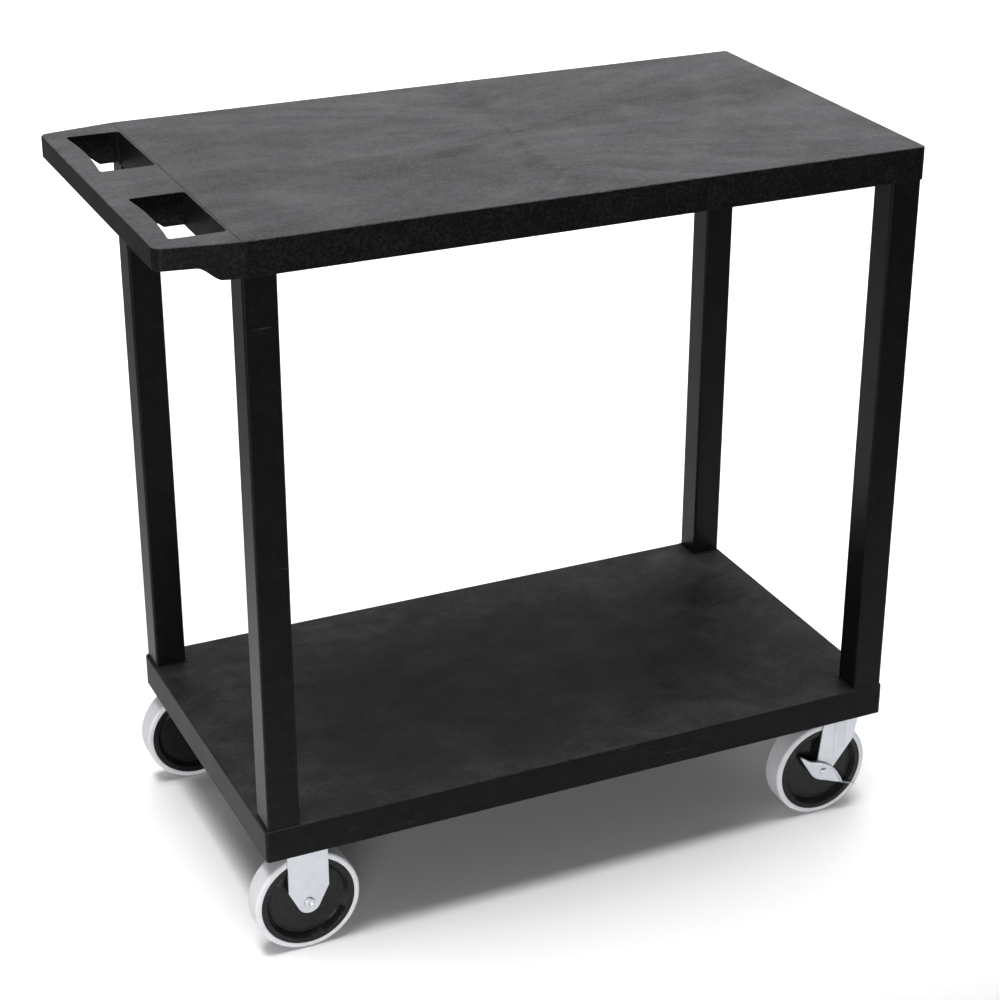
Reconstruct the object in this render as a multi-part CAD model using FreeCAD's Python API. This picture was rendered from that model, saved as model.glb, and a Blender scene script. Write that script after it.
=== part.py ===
import FreeCAD, Part
import math
import os

os.makedirs("parts", exist_ok=True)

V = FreeCAD.Vector

# ---- whole cart (mm): +X away from the handle, -Y is the right side, floor at z = 0
LENGTH = 895.35
WIDTH = 457.2
HEIGHT = 866.0
X_FRONT = LENGTH / 2
X_REAR = -LENGTH / 2
HALF_W = WIDTH / 2

# ---- top shelf
TOP_SKIRT_Z = 827.5           # lower edge of the skirt
TOP_PLATE = 5.0               # deck thickness
TOP_WALL = 4.0                # skirt thickness
KINK_X = -357.0               # where the handle end starts to taper
HANDLE_HALF_W = 214.0         # half width at the rear end
HANDLE_SKIRT_Z = 842.0        # lower edge of the shallow skirt round the handle
SWEEP_X0 = -406.0             # the lower edge sweeps down between these two x
SWEEP_X1 = -380.0
CORNER_R = 5.0
HANDLE_CORNER_R = 11.0
KINK_R = 6.0
EDGE_R = 1.8
GROOVE_X = -361.2
GROOVE_W = 1.2
GROOVE_DEPTH = 0.4

# ---- hand holes in the top shelf
HOLE_X0 = -424.0
HOLE_X1 = -363.0
HOLE_BOW = 4.5                # grip bar is wider in the middle of each hole
HOLE_Y0 = 51.0
HOLE_Y1 = 190.0
HOLE_R = 4.0
HOLE_WALL = 3.0
HOLE_WALL_Z = 830.0
TOP_UNDER = HEIGHT - TOP_PLATE

# ---- ribs under the decks
RIB_T = 3.0
RIB_DEPTH = 9.0
RIB_PITCH = 76.2
RIBS_LONG = 2                 # longitudinal ribs each side of the middle one
RIB_X_COUNT = 10
RIB_X_FIRST = -302.0

# ---- lower shelf
LOW_REAR_X = -365.5
LOW_TOP_Z = 172.2
LOW_SKIRT_Z = 132.4
LOW_PLATE = 4.5
LOW_WALL = 3.1
LIP_W = 2.4
LIP_H = 1.0
LOW_UNDER = LOW_TOP_Z - LOW_PLATE
LOW_IN_X0 = LOW_REAR_X + LOW_WALL
LOW_IN_X1 = X_FRONT - LOW_WALL
LOW_IN_Y = HALF_W - LOW_WALL

# ---- legs: square tubes held in sockets in both shelves
LEG = 38.1
LEG_WALL = 3.0
LEG_R = 3.0
LEG_INSET = 2.0               # from the side and front faces of the shelves to the legs
LEG_INSET_REAR = 3.5          # from the rear face of the lower shelf to the rear legs
LEG_BOTTOM_Z = 156.0
LEG_TOP_Z = 856.0
LEG_CLEAR = 0.1
SOCKET_WALL = 3.0
LEG_Y = HALF_W - LEG_INSET - LEG / 2
LEG_X = {"rear": LOW_REAR_X + LEG_INSET_REAR + LEG / 2, "front": X_FRONT - LEG_INSET - LEG / 2}
PLUG_H = 20.0
PLUG_CLEAR = 0.05
PLUG_WALL = 3.0
PLUG_FLOOR = 8.0
LEG_SCREW_R = 2.5
LEG_SCREW_HEAD_R = 5.0
LEG_SCREW_HEAD_H = 2.8
LEG_SCREW_TIP_Z = 163.0
SCREW_CLEAR = 0.05

# ---- wheels
WHEEL_R = 63.5
WHEEL_W = 31.0
TREAD_IN_R = 56.5
TREAD_EDGE_R = 3.5
CORE_HALF = 15.2
CORE_RIM_R = 49.8
CORE_STEP_R = 45.5
CORE_DISC = 8.0               # half thickness of the recessed disc
HUB_R = 13.0
HUB_FOOT_R = 14.5
HUB_HALF = 12.8
CORE_LIP_BEVEL = 0.6          # bevel where the core rim meets the tread
CORE_RIM_EASE = (0.8, 0.4)    # bevel at the inside of the rim: along the radius, along the axle
SLEEVE_R = 6.0
RUN_CLEAR = 0.05              # radial running clearance
AXLE_R = 4.0
AXLE_CLEAR = 0.05
AXLE_Z = WHEEL_R

# ---- caster frames, shared sizes
MOUNT_Z = 148.4               # face under the lower shelf that the plates screw to
PLATE_T = 3.0
PLATE_L = 79.4
SHEET = 2.3                   # leg thickness of both caster frames
FORK_HALF_IN = 16.3           # wheel centre to the inside of a fork leg
FORK_HALF_OUT = FORK_HALF_IN + SHEET
SCREW_DX = 31.0
SCREW_DY = 12.0
SCREW_R = 3.0
SCREW_HOLE_R = 3.3
SCREW_HEAD_R = 5.5
SCREW_HEAD_H = 3.2
SCREW_TIP_Z = 155.5
PAD_EDGE = 2.0
SPACER_R = 9.0
NUT_AF = 13.0
NUT_H = 6.5
NUT_BEVEL = 0.8
BOLT_PAST_NUT = 2.0

# ---- rigid casters (rear)
RIGID_X = -316.0
RIGID_Y = 206.5
RIGID_LEG_HALF = 24.4
RIGID_SHOULDER = 17.8         # above the axle
RIGID_TIP_R = 14.0
RIGID_TIP_TANGENT = (11.5, -8.0)  # where the sloping edge meets the round tip
RIGID_JOGGLE = 0.6
RIGID_JOGGLE_RISE = 0.9       # the joggle line climbs towards the handle by this at its reach
RIGID_JOGGLE_REACH = 40.0
RIGID_HEAD_R = 6.3
RIGID_HEAD_H = 2.6
RIGID_HEAD_ROUND = 1.4
RIGID_DISH_R = 5.0
RIGID_DISH_DEPTH = 1.0
BEND_R = 2.2

# ---- swivel casters (front)
PIVOT_X = 394.0
SWIVEL_Y = 204.5
TRAIL = 23.0                  # pivot to axle, measured towards the handle
CROWN_T = 2.7
CROWN_Z = 129.2
CROWN_TOP = CROWN_Z + CROWN_T
LEG_REAR_TOP = -1.9           # fork leg outline, measured from the axle
LEG_FRONT_TOP = 47.9
LEG_KNEE = (42.1, 36.7)
LEG_TOE = (9.3, -6.8)
LEG_HEEL = (-9.9, -1.5)
FORK_TIP_R = 11.5
RIDGE_XS = (15.8, 30.2)
RIDGE_W = 2.4
RIDGE_H = 0.3
RIDGE_FEET = (14.0, 26.0)     # height of the foot of each ridge above the axle
RIDGE_TOP_GAP = 2.0
RIDGE_ROOT = 0.5
CUP_R = 19.0
CUP_WALL = 2.0
CUP_FLOOR = 1.5
CUP_H = 10.6
CUP_ROUND = 0.9
BALL_R = 2.6
BALL_RING_R = 14.2
BALL_COUNT = 12
RACE_R = 16.2
PIN_R = 5.0
PIN_HEAD_R = 7.0
PIN_HEAD_H = 2.6
PIN_TOP_R = 8.0
PIN_HEAD_ROUND = 0.8
PIN_TOP_ROUND = 1.2
PIN_RECESS_CLEAR = 1.0
BODY_GAP = 0.3                # between surfaces of different moving pieces
PLATE_GAP = 0.4               # swivel plate to the inside of the skirt
SWIVEL_PLATE_HALF = HALF_W - LOW_WALL - SWIVEL_Y - PLATE_GAP

# ---- side brake on each swivel caster, measured from the axle
PEDAL_GAP = 0.4
PEDAL_T = 1.6
PEDAL_EMBOSS = 0.5
PEDAL_EMBOSS_R = 9.6
PEDAL_HEAD_R = 4.4
PEDAL_HEAD_H = 2.1
PEDAL_HEAD_ROUND = 1.7
PEDAL_REAR_TIP = (-33.5, 27.9)
PEDAL_FRONT_END = (27.6, -21.7)
PEDAL_FRONT_TIP = (48.4, -29.9)
PEDAL_LOWER = ((-24.5, 10.5), (-9.5, -9.8), (9.9, -19.0))
PEDAL_UPPER = ((24.9, -14.0), (13.0, 3.0), (-6.0, 14.6), (-19.5, 18.6))
PEDAL_LIP = 3.0
PEDAL_LIP_SHIFT = (-0.94, -1.3)   # lip thickness, square to the run of its ridge
CAM_R = 7.5
SHOE_R = 10.5
SHOE_T = 1.5
SHOE_Y = 13.4
SHOE_TONGUE_W = 12.0
SHOE_TONGUE_DX = 7.0          # the tongue stands behind the leaning fork leg
SHOE_TONGUE_TOP = 34.0
SHOE_PAD_BOTTOM = 25.0

PAST = 1.0                    # how far a cutter runs past the face it opens
FAR = 40.0                    # long enough to cut right through a caster


def box(x0, x1, y0, y1, z0, z1):
    """Axis-aligned block between two corners."""
    return Part.makeBox(x1 - x0, y1 - y0, z1 - z0, V(x0, y0, z0))


def rod_z(x, y, z0, z1, r):
    """Upright cylinder."""
    return Part.makeCylinder(r, z1 - z0, V(x, y, z0), V(0, 0, 1))


def rod_y(x, z, y0, y1, r):
    """Cylinder along Y."""
    return Part.makeCylinder(r, y1 - y0, V(x, y0, z), V(0, 1, 0))


def plan_prism(points, z0, z1):
    """Polygon in plan, extruded upwards."""
    corners = [V(x, y, z0) for x, y in points]
    face = Part.Face(Part.makePolygon(corners + corners[:1]))
    return face.extrude(V(0, 0, z1 - z0))


def side_prism(points, y0, y1):
    """Polygon of (x, z) points, extruded along Y."""
    corners = [V(x, y0, z) for x, z in points]
    face = Part.Face(Part.makePolygon(corners + corners[:1]))
    return face.extrude(V(0, y1 - y0, 0))


def turned_y(profile, x, y, z):
    """Closed (radius, offset) profile turned about an axis along Y."""
    corners = [V(r, d, 0) for r, d in profile]
    face = Part.Face(Part.makePolygon(corners + corners[:1]))
    solid = face.revolve(V(0, 0, 0), V(0, 1, 0), 360)
    solid.translate(V(x, y, z))
    return solid


def joined(shapes):
    """One solid from several overlapping ones."""
    return shapes[0].fuse(shapes[1:]).removeSplitter()


def mirrored(shape):
    """The same piece on the other side of the cart."""
    return shape.mirror(V(0, 0, 0), V(0, 1, 0))


def vertical_edges(shape, spots):
    """Straight upright edges that stand at the given plan points."""
    found = []
    for edge in shape.Edges:
        a = edge.Vertexes[0].Point
        b = edge.Vertexes[-1].Point
        upright = math.hypot(a.x - b.x, a.y - b.y) < 0.01 and abs(a.z - b.z) > 1
        if upright and any(math.hypot(a.x - x, a.y - y) < 0.1 for x, y in spots):
            found.append(edge)
    return found


def level_edges(shape, z, keep=lambda p: True):
    """Edges that lie in the level plane z and whose middle passes the test."""
    found = []
    for edge in shape.Edges:
        bounds = edge.BoundBox
        flat = abs(bounds.ZMin - z) < 0.01 and abs(bounds.ZMax - z) < 0.01
        if flat and keep(edge.CenterOfMass):
            found.append(edge)
    return found


def save(name, shape):
    """Write one piece."""
    shape.exportStep(f"parts/{name}.step")


def taper_y(x, inset):
    """Half width of the top shelf at x, measured to a face that lies inset."""
    if x >= KINK_X:
        return HALF_W - inset
    slope = (HALF_W - HANDLE_HALF_W) / (KINK_X - X_REAR)
    return HALF_W - slope * (KINK_X - x) - inset * math.hypot(1, slope)


def top_outline(inset):
    """Plan outline of the top shelf, moved in by inset."""
    xr = X_REAR + inset
    xf = X_FRONT - inset
    half = [(xf, HALF_W - inset), (KINK_X, HALF_W - inset), (xr, taper_y(xr, inset))]
    return [(x, -y) for x, y in half] + [(x, y) for x, y in reversed(half)]


def handle_clearance():
    """Space under the shallow handle skirt, with the swept lower edge."""
    reach = 20.0
    count = 12
    drop = HANDLE_SKIRT_Z - TOP_SKIRT_Z
    points = [(X_REAR - reach, TOP_SKIRT_Z - reach), (X_REAR - reach, HANDLE_SKIRT_Z)]
    for i in range(count + 1):
        t = i / count
        ease = t * t * (3 - 2 * t)
        points.append((SWEEP_X0 + (SWEEP_X1 - SWEEP_X0) * t, HANDLE_SKIRT_Z - drop * ease))
    points.append((SWEEP_X1, TOP_SKIRT_Z - reach))
    return side_prism(points, -HALF_W - reach, HALF_W + reach)


def hand_hole():
    """Cutter for the right-hand hole: a rectangle whose rear side bows forward."""
    past = 10.0
    a = V(HOLE_X0, -HOLE_Y1, HOLE_WALL_Z - past)
    b = V(HOLE_X0, -HOLE_Y0, HOLE_WALL_Z - past)
    middle = V(HOLE_X0 + HOLE_BOW, -(HOLE_Y0 + HOLE_Y1) / 2, HOLE_WALL_Z - past)
    c = V(HOLE_X1, -HOLE_Y0, HOLE_WALL_Z - past)
    d = V(HOLE_X1, -HOLE_Y1, HOLE_WALL_Z - past)
    sides = [Part.Arc(a, middle, b).toShape(), Part.makeLine(b, c), Part.makeLine(c, d)]
    outline = Part.Wire(sides + [Part.makeLine(d, a)])
    solid = Part.Face(outline).extrude(V(0, 0, HEIGHT - HOLE_WALL_Z + 2 * past))
    corners = [(p.x, p.y) for p in (a, b, c, d)]
    return solid.makeFillet(HOLE_R, vertical_edges(solid, corners))


def rib_grid(x0, x1, half_w, z0, z1):
    """Crossed ribs under a deck."""
    ribs = []
    for i in range(-RIBS_LONG, RIBS_LONG + 1):
        y = i * RIB_PITCH
        ribs.append(box(x0, x1, y - RIB_T / 2, y + RIB_T / 2, z0, z1))
    for i in range(RIB_X_COUNT):
        x = RIB_X_FIRST + i * RIB_PITCH
        ribs.append(box(x - RIB_T / 2, x + RIB_T / 2, -half_w, half_w, z0, z1))
    return ribs


def leg_spots():
    """Name, x and signed y of each leg."""
    spots = []
    for end in ("rear", "front"):
        spots.append((f"{end}_right", LEG_X[end], -LEG_Y))
        spots.append((f"{end}_left", LEG_X[end], LEG_Y))
    return spots


def square(x, y, half, z0, z1):
    """Square block centred on a leg."""
    return box(x - half, x + half, y - half, y + half, z0, z1)


def leg_pocket(x, y, z0, z1):
    """Cutter that takes a leg with its slip clearance."""
    half = LEG / 2 + LEG_CLEAR
    corners = [(x - half, y - half), (x - half, y + half), (x + half, y - half), (x + half, y + half)]
    block = square(x, y, half, z0, z1)
    return block.makeFillet(LEG_R, vertical_edges(block, corners))


def top_shell():
    """Deck and skirt, rounded outside and hollow below."""
    shell = plan_prism(top_outline(0), TOP_SKIRT_Z, HEIGHT)
    rear = [(X_REAR, -HANDLE_HALF_W), (X_REAR, HANDLE_HALF_W)]
    shell = shell.makeFillet(CORNER_R, vertical_edges(shell, [(X_FRONT, -HALF_W), (X_FRONT, HALF_W)]))
    shell = shell.makeFillet(HANDLE_CORNER_R, vertical_edges(shell, rear))
    shell = shell.makeFillet(KINK_R, vertical_edges(shell, [(KINK_X, -HALF_W), (KINK_X, HALF_W)]))
    shell = shell.makeFillet(EDGE_R, level_edges(shell, HEIGHT))
    rear_x = X_REAR + TOP_WALL
    rear_y = taper_y(rear_x, TOP_WALL)
    cavity = plan_prism(top_outline(TOP_WALL), TOP_SKIRT_Z - PAST, TOP_UNDER)
    rounded = vertical_edges(cavity, [(rear_x, -rear_y), (rear_x, rear_y)])
    return shell.cut(cavity.makeFillet(HANDLE_CORNER_R - TOP_WALL, rounded))


def hole_walls():
    """Upright walls round the two hand holes."""
    rear_in = X_REAR + TOP_WALL / 2
    top = TOP_UNDER + PAST
    walls = []
    for side in (-1, 1):
        for inner in (HOLE_Y0 - HOLE_WALL, HOLE_Y1):
            low, high = sorted((side * inner, side * (inner + HOLE_WALL)))
            walls.append(box(rear_in, HOLE_X1 + PAST, low, high, HOLE_WALL_Z, top))
        low, high = sorted((side * HOLE_Y0, side * HOLE_Y1))
        walls.append(box(HOLE_X0 - HOLE_WALL, HOLE_X0 + HOLE_BOW, low, high, HOLE_WALL_Z, top))
    return walls


def top_shelf():
    """Deck with a downturned skirt, a tapered handle end and two hand holes."""
    top = TOP_UNDER + PAST
    inside = HALF_W - TOP_WALL / 2
    pieces = [top_shell()]
    pieces += rib_grid(HOLE_X1, X_FRONT - TOP_WALL / 2, inside, TOP_UNDER - RIB_DEPTH, top)
    pieces.append(box(HOLE_X1, HOLE_X1 + HOLE_WALL, -inside, inside, TOP_SKIRT_Z, top))
    pieces += hole_walls()
    outline = plan_prism(top_outline(TOP_WALL / 2), TOP_SKIRT_Z, HEIGHT)
    for _, x, y in leg_spots():
        block = square(x, y, LEG / 2 + SOCKET_WALL, TOP_SKIRT_Z, top)
        pieces.append(block.common(outline))
    body = joined(pieces)
    body = body.cut(handle_clearance())
    hole = hand_hole()
    body = body.cut(hole).cut(mirrored(hole))
    for _, x, y in leg_spots():
        body = body.cut(leg_pocket(x, y, TOP_SKIRT_Z - PAST, LEG_TOP_Z))
    half = HALF_W - EDGE_R - PAST
    groove = box(GROOVE_X, GROOVE_X + GROOVE_W, -half, half, HEIGHT - GROOVE_DEPTH, HEIGHT + PAST)
    body = body.cut(groove)
    return body.makeFillet(EDGE_R / 2, level_edges(body, HEIGHT, on_hole_rim))


def on_hole_rim(point):
    """True for a point on the rim of either hand hole."""
    along = HOLE_X0 - PAST < point.x < HOLE_X1 + PAST
    return along and HOLE_Y0 - PAST < abs(point.y) < HOLE_Y1 + PAST


def caster_spots():
    """Plate centre x, y and half width of the right-hand casters."""
    return [(RIGID_X, -RIGID_Y, FORK_HALF_OUT), (PIVOT_X, -SWIVEL_Y, SWIVEL_PLATE_HALF)]


def screw_spots(x, y):
    """Plan positions of the four plate screws."""
    return [(x + sx * SCREW_DX, y + sy * SCREW_DY) for sx in (-1, 1) for sy in (-1, 1)]


def low_shell():
    """Lower deck and skirt, rounded outside and hollow below."""
    shell = box(LOW_REAR_X, X_FRONT, -HALF_W, HALF_W, LOW_SKIRT_Z, LOW_TOP_Z)
    corners = [(x, y) for x in (LOW_REAR_X, X_FRONT) for y in (-HALF_W, HALF_W)]
    shell = shell.makeFillet(CORNER_R, vertical_edges(shell, corners))
    shell = shell.makeFillet(EDGE_R, level_edges(shell, LOW_TOP_Z))
    cavity = box(LOW_IN_X0, LOW_IN_X1, -LOW_IN_Y, LOW_IN_Y, LOW_SKIRT_Z - PAST, LOW_UNDER)
    cavity_corners = [(x, y) for x in (LOW_IN_X0, LOW_IN_X1) for y in (-LOW_IN_Y, LOW_IN_Y)]
    return shell.cut(cavity.makeFillet(CORNER_R - LOW_WALL, vertical_edges(cavity, cavity_corners)))


def leg_lip(x, y):
    """Low raised strip on the deck along the two inner faces of a leg."""
    sx = math.copysign(1, x)
    sy = math.copysign(1, y)
    x_low, x_high = sorted((x + sx * LEG / 2, x - sx * (LEG / 2 + LIP_W)))
    y_low, y_high = sorted((y + sy * LEG / 2, y - sy * (LEG / 2 + LIP_W)))
    return box(x_low, x_high, y_low, y_high, LOW_UNDER, LOW_TOP_Z + LIP_H)


def caster_pad(x, y, half):
    """Solid pad under the deck that a caster plate screws to."""
    reach = PLATE_L / 2 + PAD_EDGE
    front = min(x + reach, LOW_IN_X1 + PAST)
    return box(x - reach, front, -LOW_IN_Y - PAST, y + half + PAD_EDGE, MOUNT_Z, LOW_UNDER + PAST)


def lower_shelf():
    """Flat lower deck with leg sockets and caster mounting pads."""
    top = LOW_UNDER + PAST
    x0 = LOW_IN_X0 - PAST
    x1 = LOW_IN_X1 + PAST
    half_y = LOW_IN_Y + PAST
    pieces = [low_shell()]
    pieces += rib_grid(x0, x1, half_y, LOW_UNDER - RIB_DEPTH, top)
    for _, x, y in leg_spots():
        block = square(x, y, LEG / 2 + SOCKET_WALL, MOUNT_Z, top)
        pieces.append(block.common(box(x0, x1, -half_y, half_y, MOUNT_Z, LOW_TOP_Z)))
        pieces.append(leg_lip(x, y))
    for x, y, half in caster_spots():
        pad = caster_pad(x, y, half)
        pieces += [pad, mirrored(pad)]
    body = joined(pieces)
    for _, x, y in leg_spots():
        body = body.cut(leg_pocket(x, y, LEG_BOTTOM_Z, LOW_TOP_Z + LIP_H + PAST))
        body = body.cut(rod_z(x, y, MOUNT_Z - PAST, LEG_BOTTOM_Z + PAST, LEG_SCREW_R + SCREW_CLEAR))
        body = body.cut(leg_screw_head(x, y, SCREW_CLEAR))
    for x, y, _ in caster_spots():
        for sx, sy in screw_spots(x, y):
            cut = rod_z(sx, sy, MOUNT_Z - PAST, SCREW_TIP_Z, SCREW_R + SCREW_CLEAR)
            body = body.cut(cut).cut(mirrored(cut))
    recess_top = MOUNT_Z + PIN_HEAD_H + PIN_RECESS_CLEAR
    recess = rod_z(PIVOT_X, -SWIVEL_Y, MOUNT_Z - PAST, recess_top, PIN_TOP_R + PIN_RECESS_CLEAR)
    return body.cut(recess).cut(mirrored(recess))


def leg(x, y):
    """Square tube."""
    half = LEG / 2
    corners = [(x + sx * half, y + sy * half) for sx in (-1, 1) for sy in (-1, 1)]
    outer = square(x, y, half, LEG_BOTTOM_Z, LEG_TOP_Z)
    outer = outer.makeFillet(LEG_R, vertical_edges(outer, corners))
    return outer.cut(square(x, y, half - LEG_WALL, LEG_BOTTOM_Z - 1, LEG_TOP_Z + 1))


def leg_plug(x, y):
    """Moulded cup in the foot of a leg that takes the leg screw."""
    half = LEG / 2 - LEG_WALL - PLUG_CLEAR
    cup = square(x, y, half, LEG_BOTTOM_Z, LEG_BOTTOM_Z + PLUG_H)
    cup = cup.cut(square(x, y, half - PLUG_WALL, LEG_BOTTOM_Z + PLUG_FLOOR, LEG_BOTTOM_Z + PLUG_H + 1))
    return cup.cut(rod_z(x, y, LEG_BOTTOM_Z - 1, LEG_BOTTOM_Z + PLUG_FLOOR + 1, LEG_SCREW_R + SCREW_CLEAR))


def leg_screw_head(x, y, extra):
    """Countersunk head, flush with the mounting face."""
    start = V(x, y, MOUNT_Z)
    return Part.makeCone(LEG_SCREW_HEAD_R + extra, LEG_SCREW_R + extra, LEG_SCREW_HEAD_H, start, V(0, 0, 1))


def leg_screws():
    """The four screws that hold the legs down."""
    screws = []
    for _, x, y in leg_spots():
        shank = rod_z(x, y, MOUNT_Z, LEG_SCREW_TIP_Z, LEG_SCREW_R)
        screws.append(shank.fuse(leg_screw_head(x, y, 0)).removeSplitter())
    return Part.makeCompound(screws)


def plate_screw(x, y):
    """Pan-head screw up through a caster plate."""
    seat = MOUNT_Z - PLATE_T
    head = rod_z(x, y, seat - SCREW_HEAD_H, seat, SCREW_HEAD_R)
    head = head.makeFillet(SCREW_HEAD_H / 2, level_edges(head, seat - SCREW_HEAD_H))
    return head.fuse(rod_z(x, y, seat, SCREW_TIP_Z, SCREW_R)).removeSplitter()


def plate_screws():
    """All sixteen caster screws."""
    screws = []
    for x, y, _ in caster_spots():
        for sx, sy in screw_spots(x, y):
            screw = plate_screw(sx, sy)
            screws += [screw, mirrored(screw)]
    return Part.makeCompound(screws)


def drilled(plate, x, y):
    """Caster plate with its four screw holes."""
    for sx, sy in screw_spots(x, y):
        plate = plate.cut(rod_z(sx, sy, MOUNT_Z - PLATE_T - 1, MOUNT_Z + 1, SCREW_HOLE_R))
    return plate


def plate_blank(x, y, half):
    """Rectangular caster plate with rounded corners."""
    plate = box(x - PLATE_L / 2, x + PLATE_L / 2, y - half, y + half, MOUNT_Z - PLATE_T, MOUNT_Z)
    corners = [(x + sx * PLATE_L / 2, y + sy * half) for sx in (-1, 1) for sy in (-1, 1)]
    return plate.makeFillet(CORNER_R, vertical_edges(plate, corners))


def tread(x, y):
    """Tyre band with rounded shoulders."""
    ring = rod_y(x, AXLE_Z, y - WHEEL_W / 2, y + WHEEL_W / 2, WHEEL_R)
    ring = ring.makeFillet(TREAD_EDGE_R, ring.Edges)
    return ring.cut(rod_y(x, AXLE_Z, y - WHEEL_W, y + WHEEL_W, TREAD_IN_R))


def wheel_core(x, y):
    """Moulded centre: flat rim, dished disc and hub."""
    ease_r, ease_w = CORE_RIM_EASE
    side = [(SLEEVE_R + RUN_CLEAR, HUB_HALF), (HUB_R, HUB_HALF), (HUB_FOOT_R, CORE_DISC)]
    side += [(CORE_STEP_R, CORE_DISC), (CORE_RIM_R, CORE_HALF - ease_w), (CORE_RIM_R + ease_r, CORE_HALF)]
    side += [(TREAD_IN_R - CORE_LIP_BEVEL, CORE_HALF), (TREAD_IN_R, CORE_HALF - CORE_LIP_BEVEL)]
    other = [(r, -d) for r, d in reversed(side)]
    return turned_y(side + other, x, y, AXLE_Z)


def nut(x, y0, y1):
    """Hexagon nut on the axle bolt."""
    radius = NUT_AF / 2 / math.cos(math.pi / 6)
    corners = [(x + radius * math.cos(a), AXLE_Z + radius * math.sin(a))
               for a in (math.pi / 6 + i * math.pi / 3 for i in range(6))]
    body = side_prism(corners, y0, y1)
    rounding = rod_y(x, AXLE_Z, y0, y1, radius - 0.1)
    rounding = rounding.makeChamfer(NUT_BEVEL, [e for e in rounding.Edges if e.BoundBox.YMin > y1 - 0.1])
    return body.common(rounding).cut(rod_y(x, AXLE_Z, y0 - 1, y1 + 1, AXLE_R + AXLE_CLEAR))


def rigid_bracket(x, y):
    """One pressed sheet: plate with two pointed legs."""
    top = plate_blank(x, y, FORK_HALF_OUT)
    shoulder = AXLE_Z + RIGID_SHOULDER
    tip_x, tip_z = RIGID_TIP_TANGENT
    outline = [(x - RIGID_LEG_HALF, MOUNT_Z), (x + RIGID_LEG_HALF, MOUNT_Z)]
    outline += [(x + RIGID_LEG_HALF, shoulder), (x + tip_x, AXLE_Z + tip_z)]
    outline += [(x - tip_x, AXLE_Z + tip_z), (x - RIGID_LEG_HALF, shoulder)]
    x0 = x - RIGID_JOGGLE_REACH
    x1 = x + RIGID_JOGGLE_REACH
    below = [(x0, shoulder + RIGID_JOGGLE_RISE), (x1, shoulder - RIGID_JOGGLE_RISE), (x1, 0), (x0, 0)]
    pieces = [top]
    for side in (-1, 1):
        low, high = sorted((y + side * FORK_HALF_IN, y + side * FORK_HALF_OUT))
        cheek = side_prism(outline, low, high).fuse(rod_y(x, AXLE_Z, low, high, RIGID_TIP_R))
        outer = y + side * FORK_HALF_OUT
        skin_low, skin_high = sorted((outer - side * RIGID_JOGGLE, outer + side))
        pieces.append(cheek.cut(side_prism(below, skin_low, skin_high)))
    body = joined(pieces)
    bends = [e for e in level_edges(body, MOUNT_Z, lambda p: abs(abs(p.y - y) - FORK_HALF_OUT) < 0.1)]
    body = body.makeFillet(BEND_R, bends)
    body = body.cut(rod_y(x, AXLE_Z, y - FAR, y + FAR, AXLE_R + AXLE_CLEAR))
    return drilled(body, x, y)


def rigid_bolt(x, y):
    """Axle bolt: round dished head outside, plain end inside."""
    face = y - FORK_HALF_OUT + RIGID_JOGGLE
    head = rod_y(x, AXLE_Z, face - RIGID_HEAD_H, face, RIGID_HEAD_R)
    outer = face - RIGID_HEAD_H
    rim = [e for e in head.Edges if e.BoundBox.YMax < outer + RIGID_HEAD_ROUND / 2]
    head = head.makeFillet(RIGID_HEAD_ROUND, rim)
    dish_y = outer - RIGID_DISH_R + RIGID_DISH_DEPTH
    dish = Part.makeSphere(RIGID_DISH_R, V(x, dish_y, AXLE_Z))
    end = y + FORK_HALF_OUT + NUT_H + BOLT_PAST_NUT
    return head.cut(dish).fuse(rod_y(x, AXLE_Z, face, end, AXLE_R)).removeSplitter()


def sleeve(x, y, y_out, y_in, collars):
    """Steel bush on the bolt, with a spacer collar at the named ends."""
    body = rod_y(x, AXLE_Z, y - y_out, y + y_in, SLEEVE_R)
    gap = HUB_HALF + BODY_GAP
    if "outer" in collars:
        body = body.fuse(rod_y(x, AXLE_Z, y - y_out, y - gap, SPACER_R))
    if "inner" in collars:
        body = body.fuse(rod_y(x, AXLE_Z, y + gap, y + y_in, SPACER_R))
    return body.cut(rod_y(x, AXLE_Z, y - FAR, y + FAR, AXLE_R + AXLE_CLEAR)).removeSplitter()


def fork_cheek(x, low, high):
    """Side sheet of the swivel fork, leaning from the pivot down to the axle."""
    outline = [(LEG_REAR_TOP, CROWN_TOP - AXLE_Z), (LEG_FRONT_TOP, CROWN_TOP - AXLE_Z)]
    outline += [LEG_KNEE, LEG_TOE, LEG_HEEL]
    sheet = side_prism([(x + dx, AXLE_Z + dz) for dx, dz in outline], low, high)
    return sheet.fuse(rod_y(x, AXLE_Z, low, high, FORK_TIP_R)).removeSplitter()


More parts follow.
